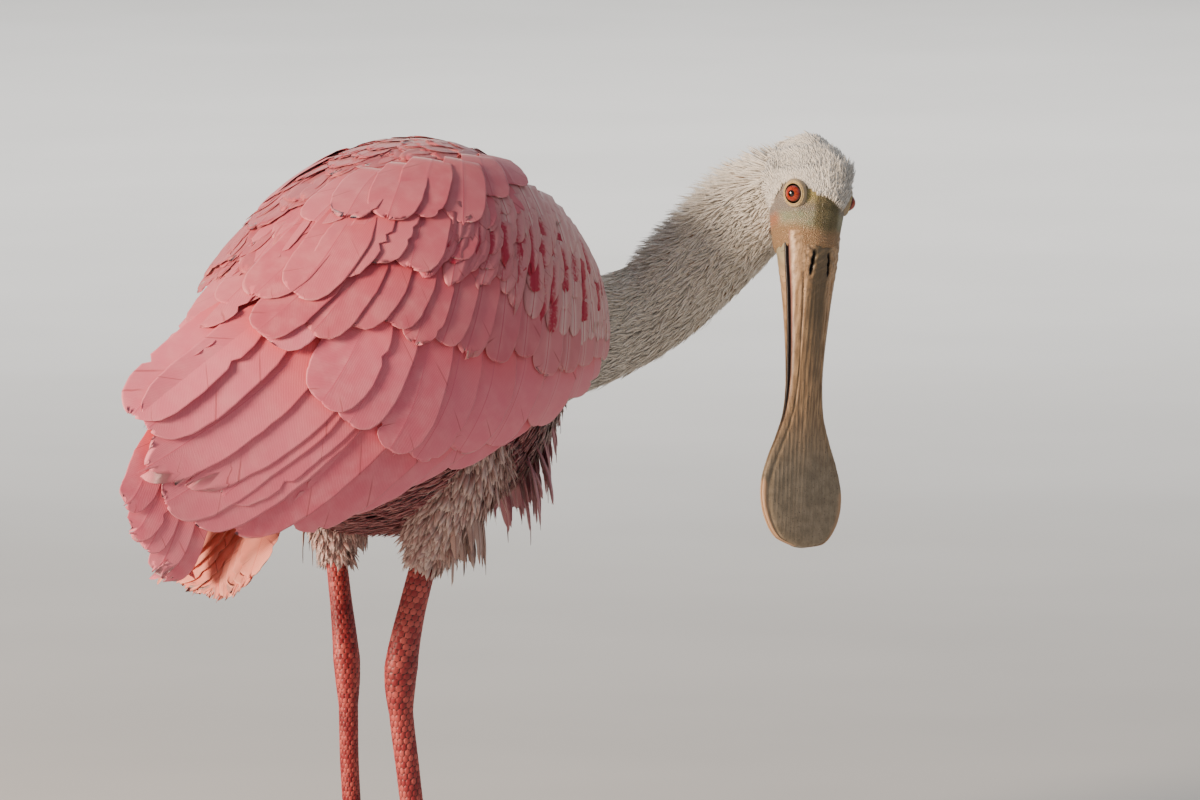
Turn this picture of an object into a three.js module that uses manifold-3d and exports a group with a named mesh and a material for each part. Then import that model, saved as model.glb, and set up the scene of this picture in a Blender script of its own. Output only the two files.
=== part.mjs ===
// A roseate spoonbill, life size, standing in its wading pose: plumage fluffed, wings folded, neck stretched
// forward and bent to the bird's right, head turned back over the right shoulder with the bill hanging down.
// Millimetres. +X is forward along the body, +Y is the bird's left, +Z is up, and the soles are at Z = 0.
import * as THREE from 'three';
import { mergeVertices } from 'three/addons/utils/BufferGeometryUtils.js';
import Module from 'manifold-3d';

const wasm = await Module();
wasm.setup();

const GAP = 0.3;
const GROWTH = GAP * 1.15;
const FEATHER_DETAIL = 0.14;
const V = (x, y, z) => new THREE.Vector3(x, y, z);
const radians = THREE.MathUtils.degToRad;
const mix = THREE.MathUtils.lerp;

// Colours and finishes of the living bird
const plumagePink = new THREE.MeshStandardMaterial({ color: '#e79aa6', roughness: 0.85 });
const bodyPink = new THREE.MeshStandardMaterial({ color: '#dba3a6', roughness: 0.9 });
const tailOrange = new THREE.MeshStandardMaterial({ color: '#ee8a72', roughness: 0.85 });
const neckWhite = new THREE.MeshStandardMaterial({ color: '#e9e2d8', roughness: 0.9 });
const billHorn = new THREE.MeshStandardMaterial({ color: '#b79c86', roughness: 0.5 });
const eyeRed = new THREE.MeshStandardMaterial({ color: '#c63a12', roughness: 0.1 });
const legRed = new THREE.MeshStandardMaterial({ color: '#a8353a', roughness: 0.6 });
const clawDark = new THREE.MeshStandardMaterial({ color: '#3a2f2c', roughness: 0.4 });

// Body sections across X: the back's height, the height where the body is widest, the belly's height, half the width.
const TRUNK = [
  [-104, 262, 240, 216, 16],
  [-92, 284, 243, 206, 32],
  [-70, 304, 250, 194, 49],
  [-38, 336, 259, 184, 64],
  [0, 355, 266, 178, 71],
  [36, 357, 271, 179, 70],
  [70, 341, 273, 192, 60],
  [94, 314, 273, 216, 45],
  [108, 292, 270, 242, 26],
];
// The outside of the folded wings, in the same terms, from the wrists to behind the tail.
const WINGS = [
  [-194, 250, 227, 200, 7],
  [-182, 262, 230, 182, 12],
  [-160, 278, 236, 168, 23],
  [-130, 300, 242, 171, 41],
  [-98, 323, 248, 177, 60],
  [-65, 347, 255, 184, 75],
  [-30, 365, 262, 190, 84],
  [10, 376, 268, 200, 87],
  [50, 371, 273, 212, 83],
  [80, 349, 276, 229, 71],
  [98, 320, 279, 250, 55],
  [106, 302, 280, 262, 41],
];
// The left wing is folded a little shorter and tighter than the right: the share of its length behind the shoulders,
// and the share of its width.
const LEFT_FOLD = { reach: 0.87, width: 0.855 };
const folded = (x, side) => (side > 0 && x < 0 ? x * LEFT_FOLD.reach : x);
const WING_OF = {
  [-1]: WINGS,
  1: WINGS.map(([x, top, wide, bottom, halfWidth]) => [folded(x, 1), top, wide, bottom, halfWidth * LEFT_FOLD.width]),
};

// Smooth value of each column of a table at x, by cubic Hermite pieces through the rows.
function sectionAt(table, x) {
  const last = table.length - 1;
  const at = THREE.MathUtils.clamp(x, table[0][0], table[last][0]);
  let i = 0;
  while (i < last - 1 && table[i + 1][0] < at) i += 1;
  const slope = (row, column) => {
    const before = table[Math.max(row - 1, 0)];
    const after = table[Math.min(row + 1, last)];
    return (after[column] - before[column]) / (after[0] - before[0]);
  };
  const span = table[i + 1][0] - table[i][0];
  const t = (at - table[i][0]) / span;
  return [1, 2, 3, 4].map((column) => {
    const rise = table[i + 1][column] - table[i][column];
    const start = slope(i, column) * span;
    const end = slope(i + 1, column) * span;
    return table[i][column] + t * (start + t * (3 * rise - 2 * start - end + t * (start + end - 2 * rise)));
  });
}

// A point of a section's outline: 0 degrees is the back's ridge, 90 the widest place and 180 the belly line.
function outlinePoint(table, x, degrees, side) {
  const [top, wide, bottom, halfWidth] = sectionAt(table, x);
  const angle = radians(degrees);
  const reach = degrees < 90 ? top - wide : wide - bottom;
  return V(x, side * halfWidth * Math.sin(angle), wide + reach * Math.cos(angle));
}

function outlineNormal(table, x, degrees, side) {
  const alongX = outlinePoint(table, x + 1, degrees, side).sub(outlinePoint(table, x - 1, degrees, side));
  const around = outlinePoint(table, x, degrees + 1, side).sub(outlinePoint(table, x, degrees - 1, side));
  return alongX.cross(around).multiplyScalar(side).normalize();
}

// Solids in and out of manifold-3d
function solid(geometry) {
  const plain = new THREE.BufferGeometry();
  plain.setAttribute('position', geometry.getAttribute('position'));
  if (geometry.index) plain.setIndex(geometry.index);
  const merged = mergeVertices(plain, 1e-4);
  const made = new wasm.Manifold(new wasm.Mesh({
    numProp: 3,
    vertProperties: new Float32Array(merged.getAttribute('position').array),
    triVerts: new Uint32Array(merged.index.array),
  }));
  return made;
}

function geometryOf(made) {
  const mesh = made.getMesh();
  const positions = new Float32Array(mesh.numVert * 3);
  for (let i = 0; i < mesh.numVert; i += 1) {
    positions.set(mesh.vertProperties.subarray(i * mesh.numProp, i * mesh.numProp + 3), i * 3);
  }
  return new THREE.BufferGeometry()
    .setAttribute('position', new THREE.BufferAttribute(positions, 3))
    .setIndex(new THREE.BufferAttribute(new Uint32Array(mesh.triVerts), 1));
}

// The largest closed surface of a solid: loose scraps are dropped.
const largest = (made) => made.decompose().reduce((a, b) => (b.volume() > a.volume() ? b : a));
const join = (...solids) => wasm.Manifold.union(solids.flat());

// The same shape with every face pushed out by about a distance, to leave room round it.
function grown(made, by) {
  const geometry = geometryOf(made);
  geometry.computeVertexNormals();
  const position = geometry.getAttribute('position');
  const normal = geometry.getAttribute('normal');
  for (let i = 0; i < position.count; i += 1) {
    position.setXYZ(
      i,
      position.getX(i) + by * normal.getX(i),
      position.getY(i) + by * normal.getY(i),
      position.getZ(i) + by * normal.getZ(i),
    );
  }
  return solid(geometry);
}
const clearOf = (made, ...others) => others.reduce((rest, other) => rest.subtract(grown(other, GROWTH)), made);

// A solid from points and triangles, turned to face outwards.
function closed(points, faces) {
  const geometry = new THREE.BufferGeometry().setFromPoints(points).setIndex(faces);
  const made = solid(geometry);
  if (made.volume() > 0) return made;
  for (let i = 0; i < faces.length; i += 3) [faces[i], faces[i + 1]] = [faces[i + 1], faces[i]];
  return solid(geometry.setIndex(faces));
}

// A closed skin over rings of equally many points, each ring running the same way round, with flat or pointed ends.
function skin(rings) {
  const count = rings[0].length;
  const points = rings.flat();
  const faces = [];
  for (let r = 0; r < rings.length - 1; r += 1) {
    for (let i = 0; i < count; i += 1) {
      const a = r * count + i;
      const b = r * count + (i + 1) % count;
      faces.push(a, b, b + count, a, b + count, a + count);
    }
  }
  [0, rings.length - 1].forEach((r) => {
    const centre = rings[r].reduce((sum, p) => sum.add(p), V(0, 0, 0)).divideScalar(count);
    points.push(centre);
    for (let i = 0; i < count; i += 1) {
      const a = r * count + i;
      const b = r * count + (i + 1) % count;
      if (r === 0) faces.push(b, a, points.length - 1);
      else faces.push(a, b, points.length - 1);
    }
  });
  return closed(points, faces);
}

// A rounded limb along a path: rows of [share of the path, half width across, half depth], across is about `aside`.
function limb(path, rows, sides, aside) {
  const curve = new THREE.CatmullRomCurve3(path);
  return skin(rows.map(([share, halfWidth, halfDepth]) => {
    const centre = curve.getPointAt(share);
    const along = curve.getTangentAt(share);
    const depth = along.clone().cross(aside).normalize();
    const across = depth.clone().cross(along).normalize();
    return Array.from({ length: sides }, (_, i) => {
      const angle = (2 * Math.PI * i) / sides;
      return centre.clone()
        .addScaledVector(across, halfWidth * Math.cos(angle))
        .addScaledVector(depth, halfDepth * Math.sin(angle));
    });
  }));
}

// A feather's vane: a thin closed blade over stations of {centre, across, normal, halfWidth}, with both of its faces
// split into triangles alike.
function blade(stations, thickness) {
  const points = stations.flatMap(({ centre, across, normal, halfWidth, thin = 1 }) => (
    [[-1, 1], [1, 1], [1, -1], [-1, -1]].map(([place, face]) => (
      centre.clone().addScaledVector(across, place * halfWidth).addScaledVector(normal, (face * thickness * thin) / 2)
    ))
  ));
  const faces = [0, 1, 2, 0, 2, 3];
  for (let a = 0; a < points.length - 4; a += 4) {
    faces.push(a, a + 4, a + 5, a, a + 5, a + 1, a + 1, a + 5, a + 6, a + 1, a + 6, a + 2);
    faces.push(a + 2, a + 6, a + 7, a + 2, a + 7, a + 3, a + 3, a + 7, a + 4, a + 3, a + 4, a);
  }
  const e = points.length - 4;
  faces.push(e, e + 2, e + 1, e, e + 3, e + 2);
  return closed(points, faces);
}

// Vane outlines: [share of the length, share of the half width]
const ROUND_VANE = [[0, 0.5], [0.45, 1], [0.84, 0.92], [1, 0.3]];
const LONG_VANE = [[0, 0.5], [0.4, 1], [0.82, 0.88], [1, 0.25]];
const LOCK = [[0, 1], [0.5, 0.85], [1, 0.12]];

// One row of wing feathers. Roots and tips are curves of [X, degrees round the section], followed from the
// outermost feather to the innermost. Each blade rises from inside the wing to its lift at the tip, and leans so
// that its inner neighbour lies over it.
function featherRow(side, { count, roots, tips, width, heights, outline, lean = 2.8, sink = 4.5, thickness = 0.8 }) {
  const curveOf = (rows) => new THREE.CatmullRomCurve3(rows.map(([x, degrees]) => V(folded(x, side), degrees, 0)));
  const rootCurve = curveOf(roots);
  const tipCurve = curveOf(tips);
  return Array.from({ length: count }, (_, i) => {
    const share = i / (count - 1);
    const root = rootCurve.getPoint(share);
    const tip = tipCurve.getPoint(share);
    const at = (s) => {
      const spot = root.clone().lerp(tip, s);
      const normal = outlineNormal(WING_OF[side], spot.x, spot.y, side);
      const height = s === 0 ? -sink : mix(heights[0], heights[1], s);
      return { normal, spot: outlinePoint(WING_OF[side], spot.x, spot.y, side).addScaledVector(normal, height) };
    };
    const halfWidth = mix(width[0], width[1], share) / 2;
    return blade(outline.map(([s, w]) => {
      const { normal, spot } = at(s);
      const along = at(Math.min(s + 0.03, 1)).spot.sub(at(Math.max(s - 0.02, 0.01)).spot).normalize();
      const across = along.clone().cross(normal).multiplyScalar(side).normalize();
      const tilt = (lean * w) / halfWidth;
      return {
        centre: spot,
        across: across.clone().addScaledVector(normal, tilt).normalize(),
        normal: normal.clone().addScaledVector(across, -tilt).normalize(),
        halfWidth: halfWidth * w,
      };
    }), thickness);
  });
}

const WING_ROWS = [
  // primaries, which show only as tips beside the tail
  {
    count: 2, width: [26, 26], heights: [-3, -1.5], outline: LONG_VANE,
    roots: [[-40, 110], [-56, 104]],
    tips: [[-168, 158], [-184, 140]],
  },
  // secondaries and the long tertials, from the wing's lower edge up to the ridge over the tail
  {
    count: 8, width: [28, 35], heights: [-1, 1.2], outline: LONG_VANE,
    roots: [[50, 106], [14, 101], [-10, 86], [-24, 66], [-36, 48]],
    tips: [[-46, 121], [-92, 126], [-138, 133], [-177, 124], [-192, 98], [-189, 58], [-160, 24]],
  },
  // greater coverts, hanging over the secondaries to the wing's lower edge in front
  {
    count: 7, width: [26, 33], heights: [1, 2.8], outline: ROUND_VANE,
    roots: [[84, 92], [62, 82], [34, 74], [4, 66], [-24, 56]],
    tips: [[60, 121], [26, 125], [-10, 121], [-42, 115], [-72, 105], [-92, 82]],
  },
  // median coverts
  {
    count: 6, width: [21, 27], heights: [2.6, 4.2], outline: ROUND_VANE,
    roots: [[87, 72], [70, 60], [42, 52], [10, 46], [-24, 38]],
    tips: [[76, 106], [40, 98], [2, 88], [-36, 78], [-66, 60], [-94, 48]],
  },
  // lesser coverts over the forearm and wrist
  {
    count: 5, width: [18, 24], heights: [4, 5.2], outline: ROUND_VANE,
    roots: [[84, 48], [72, 38], [52, 31], [24, 28]],
    tips: [[84, 86], [66, 78], [30, 72], [-6, 66], [-34, 54]],
  },
  // scapulars, broad and rounded, from the back's ridge over the wing's root
  {
    count: 6, width: [35, 36], heights: [4.6, 5.8], outline: ROUND_VANE,
    roots: [[54, 21], [36, 14], [12, 11], [-16, 11], [-42, 13]],
    tips: [[20, 48], [-6, 50], [-44, 46], [-84, 34], [-122, 19]],
  },
];

// The folded wing's flesh and feather bases: a shell round the flank, from the wrist to where the vanes run free.
const WING_CORE = { from: -122, to: 105, top: 10, thick: [4, 15], stations: 10, arc: 7 };
const WING_EDGE = [[-122, 122], [-95, 124], [-65, 118], [-30, 117], [10, 119], [50, 119], [85, 112], [105, 100]];

function wingCore(side) {
  const { from, to, top, thick, stations, arc } = WING_CORE;
  const edge = new THREE.CatmullRomCurve3(WING_EDGE.map(([x, degrees]) => V(x, degrees, 0)));
  return skin(Array.from({ length: stations }, (_, i) => {
    const share = i / (stations - 1);
    const x = folded(mix(from, to, share), side);
    const low = edge.getPoint(share).y;
    const depth = mix(thick[0], thick[1], Math.sin(Math.PI * Math.min(share * 1.15, 1) * 0.5));
    const point = (step, inward) => {
      const degrees = mix(top, low, step / (arc - 1));
      const taper = Math.sin((Math.PI * (step + 1)) / (arc + 1)) ** 0.5;
      return outlinePoint(WING_OF[side], x, degrees, side)
        .addScaledVector(outlineNormal(WING_OF[side], x, degrees, side), -2 - inward * depth * taper);
    };
    const outer = Array.from({ length: arc }, (_, k) => point(k, 0));
    const inner = Array.from({ length: arc }, (_, k) => point(arc - 1 - k, 1));
    return [...outer, ...inner];
  }));
}

// Trunk, with the long plumes of the lower breast hanging clear in front of the thighs
const TRUNK_RINGS = 15;
const TRUNK_SIDES = 20;
const trunkCore = skin(Array.from({ length: TRUNK_RINGS }, (_, i) => {
  const x = mix(-104, 108, 0.5 - 0.5 * Math.cos((Math.PI * i) / (TRUNK_RINGS - 1)));
  return Array.from({ length: TRUNK_SIDES }, (_, k) => {
    const degrees = (360 * k) / TRUNK_SIDES;
    return degrees <= 180 ? outlinePoint(TRUNK, x, degrees, 1) : outlinePoint(TRUNK, x, 360 - degrees, -1);
  });
}));

// The mantle: a ridge of feathers along the back that fills the space between the folded wings
const MANTLE = { from: 92, to: -92, halfWidth: 11, halfDepth: 13, sink: 14 };
const mantle = limb(
  Array.from({ length: 7 }, (_, i) => {
    const x = mix(MANTLE.from, MANTLE.to, i / 6);
    return V(x, 0, sectionAt(WINGS, x)[0] - MANTLE.sink);
  }),
  [[0, 7, 7], [0.08, 10, 11], [0.3, 1, 1], [0.6, 1, 1], [0.9, 0.8, 0.7], [1, 0.5, 0.4]].map(([share, wide, deep], i) => (
    i < 2 ? [share, wide, deep] : [share, wide * MANTLE.halfWidth, deep * MANTLE.halfDepth]
  )),
  10,
  V(0, 1, 0),
);

// A hanging lock from a root inside the surface, first outwards and then down.
function hangingLock(root, outward, drop, halfWidth, spread) {
  const aside = outward.clone().cross(V(0, 0, 1)).normalize();
  return blade(LOCK.map(([s, w]) => {
    const centre = root.clone()
      .addScaledVector(outward, spread * s * (2 - s))
      .add(V(0, 0, -drop * s));
    const along = outward.clone().multiplyScalar(spread * (2 - 2 * s)).add(V(0, 0, -drop)).normalize();
    return {
      centre,
      across: aside,
      normal: aside.clone().cross(along).normalize(),
      halfWidth: halfWidth * w,
      thin: mix(1.6, 0.6, s),
    };
  }), 1.6);
}

const BREAST_LOCKS = { columns: 7, rows: [[92, 44, 230], [72, 56, 210]], drop: 27, halfWidth: 8.5 };
const breastLocks = BREAST_LOCKS.rows.flatMap(([x, reach, z], row) => (
  Array.from({ length: BREAST_LOCKS.columns }, (_, i) => {
    const across = (i + 0.5 * (row % 2) - (BREAST_LOCKS.columns - 1) / 2) / (BREAST_LOCKS.columns / 2);
    const y = reach * 0.82 * across;
    const root = V(x - 16 * across * across, y, z + 6 * across * across);
    const outward = V(0.7, 0.6 * across, 0).normalize();
    return hangingLock(root, outward, BREAST_LOCKS.drop + 4 * ((i * 5 + row * 3) % 4), BREAST_LOCKS.halfWidth, 9);
  })
));

// Head: its own frame, forward along the bill, up out of the crown, with measures from the middle of the skull
const HEAD_CENTRE = V(182.7, -120.7, 345);
const BILL_DIRECTION = V(-0.2434, -0.1923, -0.9507).normalize();
const CROWN_DIRECTION = V(-0.1693, -0.9567, 0.2368).normalize();
const LEFT_DIRECTION = CROWN_DIRECTION.clone().cross(BILL_DIRECTION).normalize();
const inHead = (forward, left, up) => HEAD_CENTRE.clone()
  .addScaledVector(BILL_DIRECTION, forward)
  .addScaledVector(LEFT_DIRECTION, left)
  .addScaledVector(CROWN_DIRECTION, up);

// Rows of [forward, half width, height above, depth below]
const SKULL = [
  [-29, 5, 5, 6],
  [-26, 11, 10, 12],
  [-18, 18, 17, 18],
  [-7, 22, 21, 21],
  [4, 22, 21, 21],
  [14, 19.5, 18.5, 20],
  [23, 17.5, 16, 18.5],
  [31, 16, 14.5, 17],
];
function headSkin(rows, sides) {
  return skin(rows.map(([forward, halfWidth, above, below]) => Array.from({ length: sides }, (_, i) => {
    const angle = (2 * Math.PI * i) / sides;
    const up = Math.sin(angle);
    return inHead(forward, halfWidth * Math.cos(angle), up * (up > 0 ? above : below));
  })));
}

const EYE = { radius: 5.2, forward: 4, left: 15.6, up: 10.2, lid: 6.6 };
const eyeCentre = (side) => inHead(EYE.forward, side * EYE.left, EYE.up);
const eyeAxis = (side) => inHead(0.22, side * 0.85, 0.48).sub(HEAD_CENTRE).normalize();

function ball(centre, radius, segments) {
  const geometry = new THREE.SphereGeometry(radius, segments, segments * 0.75);
  geometry.deleteAttribute('normal');
  geometry.deleteAttribute('uv');
  return solid(geometry.translate(centre.x, centre.y, centre.z));
}

// A ring of bare skin round the eye
function eyelids(side) {
  const geometry = new THREE.TorusGeometry(EYE.lid - 1.1, 1.5, 5, 12);
  geometry.deleteAttribute('normal');
  geometry.deleteAttribute('uv');
  const turn = new THREE.Quaternion().setFromUnitVectors(V(0, 0, 1), eyeAxis(side));
  const centre = eyeCentre(side).addScaledVector(eyeAxis(side), 2.2);
  return solid(geometry.applyQuaternion(turn).translate(centre.x, centre.y, centre.z));
}

// Bill: rows of [distance from the forehead, half width, height above the mouth line, depth below it]
const BILL_START = 22;
const BILL = [
  [0, 15.5, 13.5, 15],
  [6, 15.8, 13.4, 14.4],
  [15, 15.2, 12.4, 12.6],
  [28, 13.6, 10.4, 10.2],
  [45, 12, 8.4, 7.8],
  [61, 10.9, 6.8, 6],
  [78, 10.5, 5.4, 4.8],
  [92, 12, 4.4, 4],
  [104, 16, 3.9, 3.5],
  [116, 21, 3.7, 3.2],
  [128, 24.4, 3.7, 3],
  [139, 24.2, 3.6, 2.8],
  [149, 20.4, 3.4, 2.6],
  [156, 14.2, 3, 2.2],
  [159, 6, 2, 1.6],
];
const BILL_LENGTH = 159;
const BILL_SAG = 2.3;
const MOUTH_GAP = 0.34;

function mandible(isUpper) {
  const arc = 8;
  return skin(BILL.map(([distance, halfWidth, above, below]) => {
    const sag = BILL_SAG * (distance / BILL_LENGTH) ** 2;
    const face = isUpper ? 1 : -1;
    const reach = isUpper ? above : below;
    const dome = Array.from({ length: arc + 1 }, (_, i) => {
      const angle = (Math.PI * i) / arc;
      return inHead(
        BILL_START + distance,
        face * halfWidth * Math.cos(angle),
        face * (MOUTH_GAP / 2 + 0.5 + (reach - 0.5) * Math.sin(angle) ** 0.8) - sag,
      );
    });
    const flat = [-0.98, 0, 0.98].map((place) => (
      inHead(BILL_START + distance, face * halfWidth * place, (face * MOUTH_GAP) / 2 - sag)
    ));
    return [...dome, ...flat];
  }));
}

// A box given by its middle and size in the head's frame, turned about the crown direction
function headBox(forward, left, up, length, width, height, turn) {
  const geometry = new THREE.BoxGeometry(length, width, height);
  geometry.deleteAttribute('normal');
  geometry.deleteAttribute('uv');
  geometry.rotateZ(turn);
  const basis = new THREE.Matrix4().makeBasis(BILL_DIRECTION, LEFT_DIRECTION, CROWN_DIRECTION);
  const middle = inHead(forward, left, up);
  return solid(geometry.applyMatrix4(basis).translate(middle.x, middle.y, middle.z));
}
const NOSTRIL = { distance: 18, aside: 5, length: 13, width: 1.7, height: 8, up: 13, turn: 0.09 };
const nostril = (side) => headBox(
  BILL_START + NOSTRIL.distance, side * NOSTRIL.aside, NOSTRIL.up,
  NOSTRIL.length, NOSTRIL.width, NOSTRIL.height, -side * NOSTRIL.turn,
);
const EAR = { forward: -9, left: 21.5, up: 4, radius: 3.2 };

// Neck: two lengths along one smooth path out of the breast and round to the back of the head
const NECK_PATH = [
  V(72, 0, 270), V(104, -4, 268), V(140.3, -18.3, 272.3), V(163.2, -34.7, 284.2),
  V(177.7, -55.3, 305.2), V(183.5, -78.3, 326.6), V(184.5, -101, 341.5), V(184, -112, 346),
];
const NECK_ROWS = [
  [0, 44], [0.1, 42], [0.2, 37], [0.3, 31.5], [0.4, 28], [0.5, 26], [0.6, 25.5], [0.7, 25], [0.8, 24.5], [0.9, 22.5],
  [1, 18],
];
const NECK_PARTING = 0.5;

// Legs: the right one is stouter, and the left one stands a little nearer the middle.
const LEGS = {
  right: {
    side: -1,
    stout: 1.25,
    thigh: [V(16, -42, 236), V(11, -42, 214), V(2, -36, 190), V(-5, -32, 171)],
    thighRows: [[0, 26], [0.3, 25], [0.6, 20], [0.85, 14.5], [1, 10]],
    shank: [V(0, -34, 184), V(-5, -32, 171), V(-13, -22.5, 113), V(-8, -23, 60), V(0, -25, 9)],
  },
  left: {
    side: 1,
    stout: 1,
    thigh: [V(16, 42, 236), V(11, 42, 214), V(2, 35, 190), V(-4, 30, 168)],
    thighRows: [[0, 26], [0.3, 24], [0.6, 17], [0.85, 11.5], [1, 8]],
    shank: [V(0, 33, 184), V(-4, 30, 168), V(-10, 17, 113), V(-6, 19, 60), V(2, 22, 9)],
  },
};
// Rows of [share of the leg, half width across, half depth fore and aft]: the ankle bulges near two fifths
const SHANK_ROWS = [
  [0, 4.2, 5.6], [0.24, 4.4, 6.4], [0.34, 5, 7.2], [0.4, 5.6, 7.6], [0.46, 5.2, 6.8],
  [0.53, 4.2, 5.2], [0.86, 4, 4.8], [0.94, 5, 5.6], [1, 5.4, 6],
];

// Feet: toes as [angle from straight ahead towards the outside, length], with joints, pads and small basal webs
const TOES = [[12, 80], [-14, 66], [40, 70], [184, 30]];
const TOE = { root: 4.3, tip: 2.7, claw: 9, flat: 0.7 };

function toe(heel, side, [degrees, length]) {
  const heading = radians(-side * degrees);
  const direction = V(Math.cos(heading), -Math.sin(heading), 0);
  const joints = 6;
  const rows = Array.from({ length: joints }, (_, i) => {
    const share = i / (joints - 1);
    const knuckle = 1 + 0.09 * Math.cos(share * 3 * Math.PI);
    const radius = mix(TOE.root, TOE.tip, share) * knuckle;
    return [share, radius, radius];
  });
  const path = [0, 0.35, 0.7, 1].map((share) => {
    const height = mix(TOE.root, TOE.tip, share) - TOE.flat + 3.5 * (1 - share) ** 3;
    return heel.clone().setZ(height).addScaledVector(direction, length * share);
  });
  const claw = limb(
    [0, 0.5, 1].map((share) => (
      heel.clone().setZ(mix(TOE.tip + 0.1, 1.4, share * share))
        .addScaledVector(direction, length - 2.5 + (TOE.claw + 2.5) * share)
    )),
    [[0, 1.7, 1.8], [0.5, 1.5, 1.5], [1, 0.5, 0.5]],
    6,
    V(direction.y, -direction.x, 0),
  );
  return { flesh: limb(path, rows, 6, V(direction.y, -direction.x, 0)), claw };
}

// Everything below the floor is cut away, which leaves small flats under the toes.
const belowFloor = (() => {
  const geometry = new THREE.BoxGeometry(600, 600, 40);
  geometry.deleteAttribute('normal');
  geometry.deleteAttribute('uv');
  return solid(geometry.translate(0, 0, -20));
})();

function web(heel, side, from, to) {
  const reach = 17;
  const at = (degrees, distance, z) => {
    const heading = radians(-side * degrees);
    return heel.clone().setZ(z).add(V(distance * Math.cos(heading), -distance * Math.sin(heading), 0));
  };
  return skin([0.9, 2.7].map((z) => [
    at(from, 0, z), at(from, reach + 6, z), at((from + to) / 2, reach - 4, z), at(to, reach + 6, z),
  ]));
}

function leg({ side, stout, thigh, thighRows, shank }) {
  const forward = V(1, 0, 0);
  const cuff = limb(thigh, thighRows.map(([share, radius]) => [share, radius, radius * 0.82]), 14, forward);
  const plumes = Array.from({ length: side < 0 ? 9 : 5 }, (_, i) => {
    const angle = radians(side < 0 ? -70 + 22 * i : -40 + 26 * i);
    const outward = V(Math.cos(angle), side * Math.sin(angle), 0);
    const reach = side < 0 ? 14 : 9;
    const root = V(mix(thigh[1].x, thigh[2].x, 0.75), mix(thigh[1].y, thigh[2].y, 0.75), side < 0 ? 203 : 196)
      .addScaledVector(outward, reach);
    return hangingLock(root, outward, 26 + 4 * (i % 3), 5.5, 5);
  });
  const shankRows = SHANK_ROWS.map(([share, wide, deep]) => [share, wide * stout, deep * stout]);
  const shaft = limb(shank, shankRows, 10, V(0, 1, 0));
  const heel = shank[shank.length - 1];
  const toes = TOES.map((row) => toe(heel, side, row));
  const pad = ball(heel.clone().setZ(5), 6.2, 8);
  const webs = [web(heel, side, -14, 12), web(heel, side, 12, 40)];
  return { cuff, plumes, shaft, heel, toes, pad, webs };
}

// Tail: a fan of feathers that slopes steeply down, with its coverts above
const TAIL = { base: V(-80, 0, 222), tip: V(-129, 0, 161), feathers: 8, fan: 17, width: 23, coverts: 4 };

function tailVane(share, length, lift, width, outline) {
  const along = TAIL.tip.clone().sub(TAIL.base).normalize();
  const upward = V(-along.z, 0, along.x).normalize().multiplyScalar(Math.sign(-along.z));
  const turn = radians(TAIL.fan * share);
  const heading = along.clone().multiplyScalar(Math.cos(turn)).add(V(0, Math.sin(turn), 0));
  const side = V(0, 1, 0).multiplyScalar(Math.cos(turn)).addScaledVector(along, -Math.sin(turn));
  return blade(outline.map(([s, w]) => ({
    centre: TAIL.base.clone()
      .add(V(0, 9 * share, 0))
      .addScaledVector(heading, length * s)
      .addScaledVector(upward, lift * s - 7 * share * share),
    across: side.clone().addScaledVector(upward, share > 0 ? -0.14 : 0.14).normalize(),
    normal: upward,
    halfWidth: (width / 2) * w,
  })), 1.1);
}

const tailLength = TAIL.base.distanceTo(TAIL.tip);
const tailFeathers = Array.from({ length: TAIL.feathers }, (_, i) => {
  const share = (2 * i) / (TAIL.feathers - 1) - 1;
  return tailVane(share, tailLength * (1 - 0.06 * share * share), 2.2 * (1 - Math.abs(share)), TAIL.width, LONG_VANE);
});
const tailCoverts = Array.from({ length: TAIL.coverts }, (_, i) => {
  const share = ((2 * i) / (TAIL.coverts - 1) - 1) * 0.8;
  return tailVane(share, tailLength * 0.62, 6 - 2 * Math.abs(share), 25, ROUND_VANE);
});
const tailRoot = limb(
  [V(-66, 0, 240), TAIL.base, V(-94, 0, 204)],
  [[0, 24, 15], [0.4, 22, 12], [0.8, 17, 7], [1, 12, 3]],
  14,
  V(0, 1, 0),
);

// Assembly: each part is cut clear of the ones that it grows from or lies against.
const group = new THREE.Group();
function place(name, made, material) {
  const mesh = new THREE.Mesh(geometryOf(largest(made)), material);
  mesh.name = name;
  group.add(mesh);
}

const thighs = {};
const legs = {};
['right', 'left'].forEach((name) => {
  legs[name] = leg(LEGS[name]);
  thighs[name] = clearOf(join(legs[name].cuff, legs[name].plumes), trunkCore);
});
const trunk = clearOf(join(trunkCore, breastLocks), legs.right.cuff, legs.left.cuff);
place('torso', join(trunkCore, trunk, mantle), bodyPink);

const neckCurve = new THREE.CatmullRomCurve3(NECK_PATH);
const half = GAP / 2 / neckCurve.getLength();
const neckRadius = (share) => {
  const i = Math.min(Math.floor(share * 10), 9);
  return mix(NECK_ROWS[i][1], NECK_ROWS[i + 1][1], share * 10 - i);
};
const neckLength = (from, to) => limb(
  NECK_PATH,
  Array.from({ length: 7 }, (_, i) => mix(from, to, i / 6)).map((s) => [s, neckRadius(s), neckRadius(s)]),
  16,
  V(0.3, 0.8, 0.4),
);
const skull = headSkin(SKULL, 18);
const neckLower = neckLength(0, NECK_PARTING - half);
place('neck_lower', clearOf(neckLower, trunkCore, mantle, ...breastLocks), neckWhite);
place('neck_upper', clearOf(neckLength(NECK_PARTING + half, 1), skull), neckWhite);

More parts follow.
